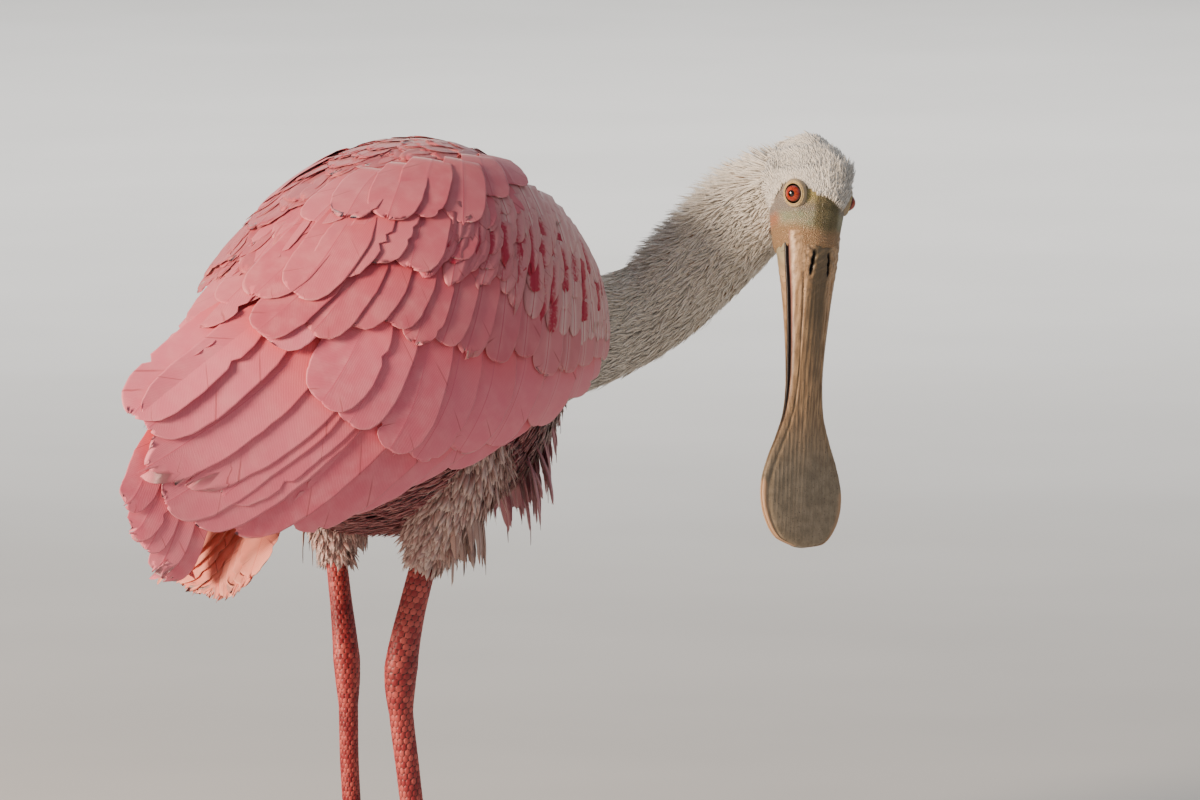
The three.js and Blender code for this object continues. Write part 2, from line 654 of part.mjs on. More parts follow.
const eyes = { right: ball(eyeCentre(-1), EYE.radius, 12), left: ball(eyeCentre(1), EYE.radius, 12) };
const ears = [-1, 1].map((side) => ball(inHead(EAR.forward, side * EAR.left, EAR.up), EAR.radius, 8));
const head = clearOf(join(skull, eyelids(-1), eyelids(1)), eyes.right, eyes.left).subtract(join(ears));
place('head', head, neckWhite);
place('eye_right', eyes.right, eyeRed);
place('eye_left', eyes.left, eyeRed);
const upperBill = clearOf(mandible(true), skull).subtract(join(nostril(1), nostril(-1)));
place('bill_upper', upperBill, billHorn);
place('bill_lower', clearOf(mandible(false), skull), billHorn);

const tail = clearOf(join(tailRoot, tailFeathers, tailCoverts), trunkCore);
place('tail', tail, tailOrange);
[['right', -1], ['left', 1]].forEach(([name, side]) => {
  const vanes = WING_ROWS.flatMap((row) => featherRow(side, row));
  const halfSpace = new THREE.BoxGeometry(600, 300, 600);
  halfSpace.deleteAttribute('normal');
  halfSpace.deleteAttribute('uv');
  const ownSide = solid(halfSpace.translate(0, side * (150 + GAP / 2), 250));
  const whole = join(wingCore(side), vanes).simplify(FEATHER_DETAIL).intersect(ownSide);
  const wing = clearOf(whole, trunkCore, mantle, neckLower, tailRoot, ...tailFeathers, ...tailCoverts);
  place(`wing_${name}`, wing, plumagePink);
});

['right', 'left'].forEach((name) => {
  const { cuff, shaft, toes, pad, webs } = legs[name];
  place(`thigh_${name}`, thighs[name], bodyPink);
  const foot = join(pad, toes.map((part) => part.flesh), webs).subtract(belowFloor);
  const lower = clearOf(shaft, cuff, pad);
  place(`leg_${name}`, clearOf(lower, ...toes.map((part) => part.flesh)), legRed);
  place(`foot_${name}`, foot, legRed);
  toes.forEach((part, i) => {
    place(`claw_${name}_${i + 1}`, clearOf(part.claw, part.flesh).subtract(belowFloor), clawDark);
  });
});

// The middle of the whole bird's outline on the floor is the origin.
const bounds = new THREE.Box3().setFromObject(group);
const middle = bounds.getCenter(V(0, 0, 0));
group.position.set(-middle.x, -middle.y, -bounds.min.z);

export default group;
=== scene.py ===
import math

import bpy
import numpy as np
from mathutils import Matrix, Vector


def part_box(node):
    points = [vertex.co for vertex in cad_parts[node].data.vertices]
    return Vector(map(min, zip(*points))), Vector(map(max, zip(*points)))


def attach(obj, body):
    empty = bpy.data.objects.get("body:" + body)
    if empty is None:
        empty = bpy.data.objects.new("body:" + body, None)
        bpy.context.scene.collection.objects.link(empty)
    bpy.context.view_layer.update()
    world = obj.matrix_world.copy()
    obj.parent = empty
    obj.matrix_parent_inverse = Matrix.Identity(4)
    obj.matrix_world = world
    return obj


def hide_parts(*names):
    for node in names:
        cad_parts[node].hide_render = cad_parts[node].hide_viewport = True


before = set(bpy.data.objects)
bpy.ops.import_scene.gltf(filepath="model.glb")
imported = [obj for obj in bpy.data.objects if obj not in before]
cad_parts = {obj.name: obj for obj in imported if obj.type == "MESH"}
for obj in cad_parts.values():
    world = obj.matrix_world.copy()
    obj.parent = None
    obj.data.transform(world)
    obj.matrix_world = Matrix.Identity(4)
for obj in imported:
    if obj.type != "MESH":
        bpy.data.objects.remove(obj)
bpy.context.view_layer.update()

# A roseate spoonbill in its wading pose. Lengths are in millimetres in the bird's own frame: X forward along
# the body, Y to its left, Z up from the soles. placed() turns them into the frame's metres.
MM = 0.001


def unit(vectors):
    return vectors / np.maximum(np.linalg.norm(vectors, axis=-1, keepdims=True), 1e-9)


def blend(a, b, share):
    return a + (b - a) * share


def ramp(value, start, end):
    """0 before start, 1 after end, and a smooth rise between them."""
    share = np.clip((value - start) / (end - start), 0, 1)
    return share * share * (3 - 2 * share)


# Body measures

# Body sections: X, the back's height, the height where it is widest, the belly's height, half the width
TRUNK = [
    [-104, 262, 240, 216, 16], [-92, 284, 243, 206, 32], [-70, 304, 250, 194, 49], [-38, 336, 259, 184, 64],
    [0, 355, 266, 178, 71], [36, 357, 271, 179, 70], [70, 341, 273, 192, 60], [94, 314, 273, 216, 45],
    [108, 292, 270, 242, 26],
]
# The outside of the folded wings in the same terms.
WINGS = [
    [-194, 250, 227, 200, 7], [-182, 262, 230, 182, 12], [-160, 278, 236, 168, 23], [-130, 300, 242, 171, 41],
    [-98, 323, 248, 177, 60], [-65, 347, 255, 184, 75], [-30, 365, 262, 190, 84], [10, 376, 268, 200, 87],
    [50, 371, 273, 212, 83], [80, 349, 276, 229, 71], [98, 320, 279, 250, 55], [106, 302, 280, 262, 41],
]
LEFT_FOLD_REACH = 0.87
LEFT_FOLD_WIDTH = 0.855
RIGHT, LEFT = -1, 1
SEEDS = {"flight": 47, "coverts": 48, "mantle": 7, "tail": 19, "neck_long_plumes": 16,
         "neck_short_plumes": 17, "nape_ruff": 97, "head": 31, "trunk": 53, "breast": 67, "thigh": 71,
         "fringe": 83}


def folded(x, side):
    """The left wing lies folded a little shorter behind the shoulder than the right."""
    return np.where((side > 0) & (np.asarray(x) < 0), np.asarray(x) * LEFT_FOLD_REACH, x)


WING_OF = {
    RIGHT: WINGS,
    LEFT: [[float(folded(x, LEFT)), top, wide, low, half * LEFT_FOLD_WIDTH] for x, top, wide, low,
           half in WINGS],
}


def section_at(table, x):
    """The four measures of a body section at each x, smooth between the table's rows."""
    rows = np.asarray(table, float)
    last = len(rows) - 1
    x = np.clip(x, rows[0, 0], rows[last, 0])
    i = np.clip(np.searchsorted(rows[:, 0], x, side="right") - 1, 0, last - 1)
    before = rows[np.maximum(np.arange(last + 1) - 1, 0)]
    after = rows[np.minimum(np.arange(last + 1) + 1, last)]
    slope = (after - before) / (after[:, :1] - before[:, :1])
    span = (rows[i + 1, 0] - rows[i, 0])[..., None]
    t = (x - rows[i, 0])[..., None] / span
    rise = rows[i + 1] - rows[i]
    start, end = slope[i] * span, slope[i + 1] * span
    value = rows[i] + t * (start + t * (3 * rise - 2 * start - end + t * (start + end - 2 * rise)))
    return value[..., 1:]


def on_outline(table, x, degrees, side):
    """Points of the section outlines: the back's ridge is at 0 degrees, the belly line at 180."""
    x, degrees = np.broadcast_arrays(np.asarray(x, float), np.asarray(degrees, float))
    top, wide, low, half = np.moveaxis(section_at(table, x), -1, 0)
    angle = np.radians(degrees)
    reach = np.where(np.abs(degrees) < 90, top - wide, wide - low)
    return np.stack([x, side * half * np.sin(angle), wide + reach * np.cos(angle)], -1)


def outline_normal(table, x, degrees, side):
    x, degrees = np.asarray(x, float), np.asarray(degrees, float)
    along = on_outline(table, x + 1, degrees, side) - on_outline(table, x - 1, degrees, side)
    round_it = on_outline(table, x, degrees + 1, side) - on_outline(table, x, degrees - 1, side)
    return unit(np.cross(along, round_it) * side)


def through(points, share):
    """A smooth curve through points, at shares from 0 to 1 of its rows."""
    rows = np.asarray(points, float)
    last = len(rows) - 1
    place = np.clip(np.asarray(share, float), 0, 1) * last
    i = np.clip(place.astype(int), 0, last - 1)
    t = (place - i)[..., None]
    padded = np.vstack([2 * rows[0] - rows[1], rows, 2 * rows[last] - rows[last - 1]])
    p0, p1, p2, p3 = padded[i], padded[i + 1], padded[i + 2], padded[i + 3]
    return 0.5 * (2 * p1 + (p2 - p0) * t + (2 * p0 - 5 * p1 + 4 * p2 - p3) * t ** 2
                  + (3 * p1 - p0 - 3 * p2 + p3) * t ** 3)


# The head's own frame: forward along the bill, left, and up out of the crown.
HEAD_CENTRE = np.array([182.7, -120.7, 345.0])
BILL_DIRECTION = unit(np.array([-0.2434, -0.1923, -0.9507]))
CROWN_DIRECTION = unit(np.array([-0.1693, -0.9567, 0.2368]))
LEFT_DIRECTION = unit(np.cross(CROWN_DIRECTION, BILL_DIRECTION))
HEAD_AXES = np.array([BILL_DIRECTION, LEFT_DIRECTION, CROWN_DIRECTION])


def in_head(forward, left, up):
    return HEAD_CENTRE + np.stack(np.broadcast_arrays(forward, left, up), -1).astype(float) @ HEAD_AXES


def head_measures(points):
    """Forward, left and up in the head's frame for points of the body frame."""
    return (points - HEAD_CENTRE) @ HEAD_AXES.T


EYE = {"radius": 5.2, "forward": 4, "left": 15.6, "up": 10.2}
eye_low, eye_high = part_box("eye_right")
FRAME_SHIFT = np.array((eye_low + eye_high) / 2) / MM - in_head(EYE["forward"], -EYE["left"], EYE["up"])


def placed(points):
    return (np.asarray(points, float).reshape(-1, 3) + FRAME_SHIFT) * MM


# Meshes

def keep_measures(mesh, measures):
    """Keeps the measures of each point on the mesh, for the materials to read."""
    for label, values in measures.items():
        values = np.asarray(values, np.float32)
        kind, key = ("FLOAT_VECTOR", "vector") if values.ndim > 1 else ("FLOAT", "value")
        mesh.attributes.new(label, kind, "POINT").data.foreach_set(key, values.ravel())


def mesh_piece(name, points, faces, measures=None, bake_map=None):
    """An object from points and four-cornered or three-cornered faces, with measures and a bake map."""
    mesh = bpy.data.meshes.new(name)
    points = placed(points)
    sets = [np.asarray(f, np.int32) for f in (faces if isinstance(faces, (list, tuple)) else [faces])
            if len(f)]
    corners = np.concatenate([f.ravel() for f in sets])
    sizes = np.concatenate([np.full(len(f), f.shape[1], np.int32) for f in sets])
    mesh.vertices.add(len(points))
    mesh.vertices.foreach_set("co", points.astype(np.float32).ravel())
    mesh.loops.add(len(corners))
    mesh.loops.foreach_set("vertex_index", corners)
    mesh.polygons.add(len(sizes))
    mesh.polygons.foreach_set("loop_start", np.concatenate([[0], np.cumsum(sizes)[:-1]]).astype(np.int32))
    mesh.update(calc_edges=True)
    mesh.polygons.foreach_set("use_smooth", np.full(len(sizes), True))
    keep_measures(mesh, measures or {})
    if bake_map is not None:
        layer = mesh.uv_layers.new(name="OFBake")
        layer.data.foreach_set("uv", np.asarray(bake_map, np.float32)[corners].ravel())
    mesh.validate()
    made = bpy.data.objects.new(name, mesh)
    bpy.context.scene.collection.objects.link(made)
    return made


def settle(piece, slot, material, *nodes):
    """Puts a finished piece on the bird: it rides on the body and stands for its solids."""
    piece.data.materials.clear()
    piece.data.materials.append(material)
    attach(piece, "root")
    if nodes:
        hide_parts(*nodes)
    return piece


def ring_faces(rings, around, closed_round=True, first=0):
    """Four-cornered faces over rings of equally many points."""
    steps = around if closed_round else around - 1
    r, i = np.meshgrid(np.arange(rings - 1), np.arange(steps), indexing="ij")
    a = first + r * around + i
    b = first + r * around + (i + 1) % around
    return np.stack([a, b, b + around, a + around], -1).reshape(-1, 4)


def tube(rings):
    """Points and faces of a closed skin over rings, with a fan at each end."""
    rings = np.asarray(rings, float)
    count, around = rings.shape[:2]
    points = np.vstack([rings.reshape(-1, 3), rings[0].mean(0), rings[-1].mean(0)])
    i = np.arange(around)
    start = np.stack([(i + 1) % around, i, np.full(around, count * around)], -1)
    base = (count - 1) * around
    end = np.stack([base + i, base + (i + 1) % around, np.full(around, count * around + 1)], -1)
    return points, [ring_faces(count, around), np.vstack([start, end])]


def turned_out(points, faces):
    """The faces turned so that the closed form has its outside outwards."""
    volume = 0.0
    for f in faces:
        for k in range(1, f.shape[1] - 1):
            a, b, c = points[f[:, 0]], points[f[:, k]], points[f[:, k + 1]]
            volume += np.einsum("ij,ij->i", a, np.cross(b, c)).sum()
    return faces if volume > 0 else [f[:, ::-1] for f in faces]


def gathered(parts):
    """Several (points, faces) forms as one set of points and faces."""
    points, faces, start = [], {}, 0
    for part_points, part_faces in parts:
        points.append(np.asarray(part_points).reshape(-1, 3))
        for f in part_faces:
            faces.setdefault(f.shape[1], []).append(f + start)
        start += len(points[-1])
    return np.vstack(points), [np.vstack(v) for v in faces.values()]


def frames_along(path, aside):
    """Tangent, across and depth directions along a path of points, with across kept about aside."""
    along = unit(np.gradient(path, axis=0))
    depth = unit(np.cross(along, aside))
    return along, unit(np.cross(depth, along)), depth


# Feather vanes

# Vane outlines: share of the length, share of the half width
LONG_VANE = [(0, 0.35), (0.12, 0.62), (0.4, 1), (0.72, 0.99), (0.86, 0.86), (0.94, 0.66), (0.985, 0.36),
             (1, 0.14)]
ROUND_VANE = [(0, 0.35), (0.15, 0.65), (0.45, 1), (0.74, 1.02), (0.87, 0.9), (0.95, 0.68), (0.988, 0.38),
              (1, 0.16)]
NARROW_VANE = [(0, 0.4), (0.3, 0.9), (0.6, 1), (0.85, 0.75), (0.95, 0.45), (1, 0.12)]
HALF_COLUMNS = np.array([0.045, 0.16, 0.32, 0.5, 0.68, 0.84, 0.94, 1])
VANE_COLUMNS = np.concatenate([-HALF_COLUMNS[::-1], [0], HALF_COLUMNS])
SMALL_COLUMNS = np.array([-1, -0.6, -0.06, 0, 0.06, 0.6, 1])


def vanes(rng, centre, across, normal, half_width, outline, stations, columns, thick=0.26, camber=0.035,
          shaft=0.12, fray=0.02, split=0.04):
    """Thin closed vanes with a raised shaft, a cupped section, a worn tip and notches at the edge.

    centre, across and normal are (feathers, stations, 3). Returns points, faces and measures."""
    n, s = centre.shape[:2]
    c = len(columns)
    share = stations
    shape = np.interp(share, *np.array(outline).T)
    reach = np.repeat((half_width[:, None] * shape)[:, :, None], 2, 2)
    cuts = (rng.random((n, s, 2)) < split) & (share[None, :, None] > 0.45) & (share[None, :, None] < 0.96)
    reach *= 1 - cuts * rng.uniform(0.05, 0.22, (n, s, 2))
    slow = np.sin(rng.uniform(0, 6.3, (n, 1, 2)) + rng.uniform(4, 9, (n, 1, 2)) * share[None, :, None])
    reach *= 1 + 0.025 * slow + 0.008 * rng.standard_normal((n, s, 2))
    side_reach = np.where(columns < 0, reach[:, :, :1], reach[:, :, 1:])
    spread = side_reach * columns
    length = np.linalg.norm(np.diff(centre, axis=1), axis=-1).sum(1)
    along = unit(np.gradient(centre, axis=1))
    wear = fray * length * rng.choice([0.3, 0.7, 1.6], n)
    ragged = rng.standard_normal((n, 1, c)) * wear[:, None, None] * ramp(share, 0.8, 1)[None, :, None]
    swept = 0.14 * np.abs(spread) * ramp(share, 0.0, 0.25)[None, :, None]
    flat = 1 - 0.75 * ramp(share, 0.9, 1.0)
    lift = -camber * columns ** 2 * side_reach + shaft * np.exp(-(columns / 0.04) ** 2) * flat[None, :, None]
    wave = np.sin(rng.uniform(0, 6.3, (n, 1, 1)) + 6 * share[None, :, None] + 2 * columns)
    lift = lift + 0.009 * half_width[:, None, None] * wave * np.abs(columns)
    middle = (centre[:, :, None] + across[:, :, None] * spread[..., None]
              + normal[:, :, None] * lift[..., None]
              + along[:, :, None] * (ragged + swept)[..., None])
    taper = np.outer(thick * (1 - 0.55 * share), 1 - 0.45 * np.abs(columns))[None, :, :, None]
    top = middle + normal[:, :, None] * taper / 2
    under = middle - normal[:, :, None] * taper / 2
    points = np.stack([top, under], 1).reshape(-1, 3)
    sheet = s * c
    r, i = np.meshgrid(np.arange(s - 1), np.arange(c - 1), indexing="ij")
    a = r * c + i
    upper = np.stack([a, a + 1, a + 1 + c, a + c], -1).reshape(-1, 4)
    lower = upper[:, ::-1] + sheet
    edge = np.arange(s - 1) * c
    left = np.stack([edge, edge + c, edge + c + sheet, edge + sheet], -1)
    right = np.stack([edge + c - 1, edge + c - 1 + sheet, edge + 2 * c - 1 + sheet, edge + 2 * c - 1], -1)
    k = np.arange(c - 1)
    root = np.stack([k, k + sheet, k + 1 + sheet, k + 1], -1)
    last = (s - 1) * c + k
    tip = np.stack([last, last + 1, last + 1 + sheet, last + sheet], -1)
    one = np.vstack([upper, lower, left, right, root, tip])
    faces = (one[None] + (np.arange(n) * 2 * sheet)[:, None, None]).reshape(-1, 4)
    outward = np.cross(across[:, 0], along[:, 0])
    if np.einsum("ij,ij->i", outward, normal[:, 0]).mean() < 0:
        faces = faces[:, ::-1]
    across_mm = np.broadcast_to(spread, (n, s, c))
    along_mm = np.broadcast_to((share[None, :] * length[:, None])[:, :, None], (n, s, c))
    seed = np.broadcast_to(rng.random((n, 1, 1)), (n, s, c))
    place = np.broadcast_to(share[None, :, None], (n, s, c))
    edge_share = np.broadcast_to(np.abs(columns), (n, s, c))

    def both(values):
        return np.stack([values, values], 1).reshape(-1, *values.shape[3:])

    measures = {
        "barb": both(np.stack([across_mm, along_mm, seed * 100], -1)),
        "place": both(np.stack([place, edge_share, seed], -1)),
    }
    return points, faces, measures


def bake_patches(roots, sizes, place, edge):
    """Each vane's patch of the bake map: its root's spot on the skin's unwrap, with its own small size."""
    across = (edge - 0.5) * sizes[:, None, 0]
    along = (place - 0.5) * sizes[:, None, 1]
    return np.clip(roots[:, None] + np.stack([across, along], -1), 0, 1)


def merged(lots):
    """Several lots of (points, faces, measures, bake map) as one."""
    start, faces = 0, []
    for points, lot_faces, _, _ in lots:
        faces.append(lot_faces + start)
        start += len(points)
    measures = {key: np.concatenate([lot[2][key] for lot in lots]) for key in lots[0][2]}
    return (np.vstack([lot[0] for lot in lots]), np.vstack(faces), measures,
            np.vstack([lot[3] for lot in lots]))


def vane_patches(count, stations, columns, roots, size):
    place = np.broadcast_to(stations[:, None], (len(stations), len(columns))).ravel()
    edge = np.broadcast_to(columns / 2 + 0.5, (len(stations), len(columns))).ravel()
    sizes = np.tile(size, (count, 1))
    once = bake_patches(roots, sizes, place[None], edge[None])
    return np.stack([once, once], 1).reshape(-1, 2)


def even_stations(count):
    """Shares of a vane's length, closer together towards the tip."""
    t = np.linspace(0, 1, count)
    return 1 - (1 - t) ** 1.35


# Each tract of a folded wing: roots and tips are curves of (X, degrees round the section), from the outermost
# feather to the innermost. height is how far the vane stands off the wing's surface at its root and its tip.
WING_TRACTS = {
    # primaries, whose tips hang beside the tail
    "primaries": dict(count=5, width=(17, 20), height=(-3.6, -2.2), outline=LONG_VANE, stations=26, pale=0.1,
                      fray=0.03,
         roots=[(-156, 84), (-160, 78), (-164, 72), (-168, 64), (-172, 52)],
         tips=[(-163, 170), (-170, 160), (-180, 146), (-188, 146), (-193, 122)]),
    # secondaries, whose rounded tips make the wing's lower edge
    "secondaries": dict(count=8, width=(34, 42), height=(-1.6, 0.2), outline=LONG_VANE, stations=30,
                        pale=0.12,
         fray=0.004,
         roots=[(34, 100), (21, 98), (1, 89), (-18, 82), (-38, 76), (-52, 66), (-63, 60), (-72, 53)],
         tips=[(-14, 112), (-38, 115), (-64, 122), (-89, 128), (-110, 136), (-139, 127), (-160, 120),
               (-176, 111)]),
    # tertials, the long inner feathers over the tail
    "tertials": dict(count=6, width=(36, 38), height=(-0.6, 1.2), outline=LONG_VANE, stations=30, pale=0.05,
                     fray=0.016,
         roots=[(-66, 62), (-70, 56), (-79, 48), (-85, 38), (-90, 30), (-92, 20), (-94, 10)],
         tips=[(-150, 110), (-163, 102), (-175, 98), (-193, 68), (-180, 46), (-186, 20), (-158, -8)]),
    # greater coverts, long and narrow, hanging over the secondaries
    "greater_coverts": dict(count=10, width=(27, 33), height=(0.8, 2.6), outline=ROUND_VANE, stations=26,
                            pale=0.26,
         fray=0.006,
         roots=[(70, 86), (60, 82), (43, 75), (24, 70), (4, 65), (-13, 60), (-28, 54), (-40, 50), (-51, 45),
                (-61, 40), (-72, 33)],
         tips=[(66, 108), (54, 112), (30, 119), (2, 119), (-23, 118), (-46, 113), (-64, 108), (-80, 102),
               (-96, 88), (-108, 76), (-122, 46)]),
    # median coverts, one row of narrow round-ended feathers
    "median_coverts": dict(count=14, width=(17, 26), height=(2.4, 4.0), outline=ROUND_VANE, stations=20,
                           pale=0.4,
         fray=0.01,
         roots=[(88, 66), (74, 62), (55, 60), (36, 58), (20, 55), (4, 53), (-12, 50), (-25, 47), (-38, 43),
                (-48, 38), (-58, 32)],
         tips=[(80, 98), (60, 96), (43, 97), (20, 92), (-1, 87), (-26, 82), (-44, 76), (-60, 69), (-76, 60),
               (-98, 55), (-124, 40)]),
    # scapulars, broad and rounded, in two layers from the back's ridge over the wing's root
    "scapulars": dict(count=10, width=(27, 33), height=(3.6, 5.4), outline=ROUND_VANE, stations=24, pale=0.05,
         fray=0.008,
         roots=[(22, 30), (8, 31), (-2, 30), (-14, 27), (-27, 23), (-34, 19), (-40, 13), (-47, 10), (-60, 6)],
         tips=[(16, 47), (-12, 48), (-34, 54), (-57, 49), (-74, 37), (-95, 39), (-112, 25), (-122, 10),
               (-136, 2)]),
    "upper_scapulars": dict(count=9, width=(23, 28), height=(4.8, 6.6), outline=ROUND_VANE, stations=24,
                            pale=0.05,
         fray=0.012,
         roots=[(40, 22), (29, 20), (19, 19), (6, 15), (-8, 13), (-18, 10), (-26, 6), (-35, 3)],
         tips=[(30, 38), (10, 40), (-23, 46), (-38, 38), (-56, 28), (-67, 17), (-80, 9), (-101, 4)]),
}
FLIGHT_TRACTS = ("primaries", "secondaries", "tertials", "greater_coverts")
SCAPULAR_TRACTS = ("scapulars", "upper_scapulars")
# Lesser coverts lie in short rows between these first and last rows.
LESSER = dict(rows=6, count=17, width=(10, 13.5), height=(3.8, 4.6),
              first_roots=[(92, 40), (80, 42), (70, 36), (54, 33), (33, 33), (12, 34), (-10, 34)],
              first_tips=[(90, 62), (78, 63), (60, 57), (44, 52), (26, 50), (2, 48), (-26, 48)],
              last_roots=[(90, 72), (75, 72), (53, 68), (35, 63), (18, 58), (-2, 53), (-24, 48)],
              last_tips=[(84, 90), (68, 88), (46, 86), (24, 81), (4, 73), (-20, 64), (-46, 57)])
# Carmine strokes of the lesser coverts: (X, degrees, reach along the feather in degrees)
CARMINE = [(-24, 47, 5), (-8, 50, 5), (6, 58, 7), (14, 55, 5), (20, 66, 8), (32, 61, 6), (29, 72, 6),
           (-2, 56, 5), (22, 57, 6), (46, 62, 6), (58, 65, 6), (84, 64, 6), (95, 84, 10), (99, 98, 10),
           (70, 55, 5), (40, 53, 5), (72, 70, 5), (54, 74, 5)]
CARMINE_WIDTH = 5.5
RIDGE_DROP = 5.6  # the feathers lie this much lower along the back's ridge
ROOT_DEPTH = -4  # how far a vane's root stands off the wing's surface: it lies under its neighbours
LAYER_RISE = 0.7  # from the first feather of a tract to its last
OVERLAP_LEAN = 1.15  # how far a vane's one edge stands over its neighbour
MAP_START = 200  # the bake map starts this far behind the legs, in millimetres
MAP_SPAN = 320  # and covers this much of X
MAP_DEGREES = 185  # by this much of the section, in degrees


def carmine_at(x, degrees):
    """How carmine the plumage is at places of the wing."""
    total = np.zeros(np.broadcast(x, degrees).shape)
    for spot_x, spot_degrees, reach in CARMINE:
        far = np.hypot((x - spot_x) / CARMINE_WIDTH, (degrees - spot_degrees) / reach)
        total = np.maximum(total, np.exp(-far ** 2))
    return total


def on_wing(side, x, degrees, height):
    table = WING_OF[side]
    return on_outline(table, x, degrees, side) + outline_normal(table, x, degrees, side) * height[..., None]


def tract_vanes(rng, side, tract):
    """The vanes of one tract of a wing, laid over its smooth outside."""
    count = tract["count"]
    share = np.linspace(0, 1, count)
    roots = through(tract["roots"], share) + rng.normal(0, 0.8, (count, 2))
    tips = through(tract["tips"], share) + rng.normal(0, 1.2, (count, 2))
    stations = even_stations(tract["stations"])
    bow = rng.normal(0, 1.0, count)[:, None] * np.sin(np.pi * stations)[None]
    x = folded(blend(roots[:, :1], tips[:, :1], stations), np.array(side))
    degrees = blend(roots[:, 1:], tips[:, 1:], stations) + bow
    low, high = tract["height"]
    height = blend(ROOT_DEPTH, blend(low, high, stations), ramp(stations, 0, 0.28))[None]
    height = height + LAYER_RISE * share[:, None] + rng.normal(0, 0.14, (count, 1)) * stations[None] ** 2
    height = height - RIDGE_DROP * ramp(np.abs(degrees), 30, 4)
    centre = on_wing(side, x, degrees, height)
    normal = outline_normal(WING_OF[side], x, degrees, side)
    along = unit(np.gradient(centre, axis=1))
    across = unit(np.cross(along, normal) * side)
    half_width = np.linspace(*tract["width"], count) / 2 * rng.uniform(0.94, 1.06, count)
    lean = (OVERLAP_LEAN / half_width + rng.normal(0, 0.006, count))[:, None, None]
    tilted = unit(across + normal * lean)
    facing = unit(normal - across * lean)
    columns = SMALL_COLUMNS if tract["outline"] is NARROW_VANE else VANE_COLUMNS
    points, faces, measures = vanes(rng, centre, tilted, facing, half_width, tract["outline"], stations,
                                    columns, fray=tract["fray"], split=tract.get("split", 0.03))
    flat_x = np.repeat(x[:, :, None], len(columns), 2)
    inner = len(stations) // 2
    dyed = carmine_at(x[:, inner], degrees[:, inner]) * tract.get("carmine", 0.0)
    dye = np.broadcast_to(dyed[:, None, None], flat_x.shape)
    fade = tract["pale"] * ramp(flat_x, -60, 60)
    measures["dye"] = np.stack([np.stack([dye, fade, np.zeros_like(dye)], -1)] * 2, 1).reshape(-1, 3)
    spot = np.stack([(roots[:, 0] + MAP_START) / MAP_SPAN, roots[:, 1] / MAP_DEGREES * 0.9 + 0.04], -1)
    size = (half_width.mean() / 700, 0.5 / len(roots))
    return points, faces, measures, vane_patches(count, stations, columns, spot, size)


def wing_plumage(side, which):
    """A wing's flight feathers with their greater coverts, or its smaller coverts with the scapulars."""
    rng = np.random.default_rng(SEEDS[which] + side)
    name = "left" if side > 0 else "right"
    if which == "flight":
        lots = [tract_vanes(rng, side, WING_TRACTS[tract]) for tract in FLIGHT_TRACTS]
        return mesh_piece(f"wing_{name}_flight", *merged(lots))
    lots = [tract_vanes(rng, side, WING_TRACTS["median_coverts"])]
    for row in range(LESSER["rows"]):
        share = row / (LESSER["rows"] - 1)
        roots, tips = (blend(np.array(LESSER[f"last_{end}"], float), np.array(LESSER[f"first_{end}"], float),
                             share)
                       for end in ("roots", "tips"))
        lots.append(tract_vanes(rng, side, dict(
            count=LESSER["count"], width=LESSER["width"], outline=NARROW_VANE, stations=10, roots=roots,
            tips=tips, height=(LESSER["height"][0] + 0.5 * share, LESSER["height"][1] + 0.6 * share),
            pale=0.7, carmine=1.0, fray=0.04, split=0.15)))
    lots += [tract_vanes(rng, side, WING_TRACTS[tract]) for tract in SCAPULAR_TRACTS]
    return mesh_piece(f"wing_{name}_coverts", *merged(lots))


# Feathers of the back's ridge: places are in degrees round the section. The pairs run from the rear row to
# the front one, but height runs from a feather's root to its tip.
MANTLE = dict(rows=19, places=(-39, -29, -19, -9, 1, 11, 21, 31, 41), x=(-58, 92), length=(46, 26),
              half_width=(12.5, 6.5), lift=(2.6, 0.6), height=(-8, -0.9), layer=0.798)


def mantle_plumage():
    """Feathers along the back's ridge, between the wings, with lifted ragged tips at the rear."""
    rng = np.random.default_rng(SEEDS["mantle"])
    rows = []
    for row in range(MANTLE["rows"]):
        share = row / (MANTLE["rows"] - 1)
        for place in MANTLE["places"]:
            x = blend(*MANTLE["x"], share) + rng.normal(0, 2)
            rows.append((x, place * 0.72 + (5 if row % 2 else 0) + rng.normal(0, 1), share))
    rows = np.array(rows)
    count = len(rows)
    stations = even_stations(12)
    length = blend(*MANTLE["length"], rows[:, 2])[:, None]
    x = rows[:, :1] - length * stations
    degrees = rows[:, 1:2] * (1 - 0.25 * stations) + rng.normal(0, 2.5, (count, 1)) * stations
    lifted = blend(*MANTLE["lift"], rows[:, 2:]) * rng.uniform(0.2, 1.3, (count, 1))
    height = blend(*MANTLE["height"], ramp(stations, 0, 0.3))[None] + MANTLE["layer"] * rows[:, 2:]
    height = height + lifted * stations[None] ** 2
    normal = outline_normal(WINGS, x, degrees, LEFT)
    centre = on_outline(WINGS, x, degrees, LEFT) + normal * height[..., None]
    along = unit(np.gradient(centre, axis=1))
    across = unit(np.cross(along, normal))
    half_width = blend(*MANTLE["half_width"], rows[:, 2]) * rng.uniform(0.85, 1.15, count)
    points, faces, measures = vanes(rng, centre, across, normal, half_width, ROUND_VANE, stations,
                                    VANE_COLUMNS, fray=0.05, split=0.18)
    measures["dye"] = np.zeros((len(points), 3))
    spot = np.stack([(rows[:, 0] + MAP_START) / MAP_SPAN, rows[:, 1] / MAP_DEGREES + 0.5], -1)
    return mesh_piece("mantle_feathers", points, faces, measures,
                      vane_patches(count, stations, VANE_COLUMNS, spot, (0.016, 0.04)))


# Tail

TAIL = {"base": (-80, 0, 222), "tip": (-129, 0, 161), "feathers": 12, "fan": 17, "width": 25}
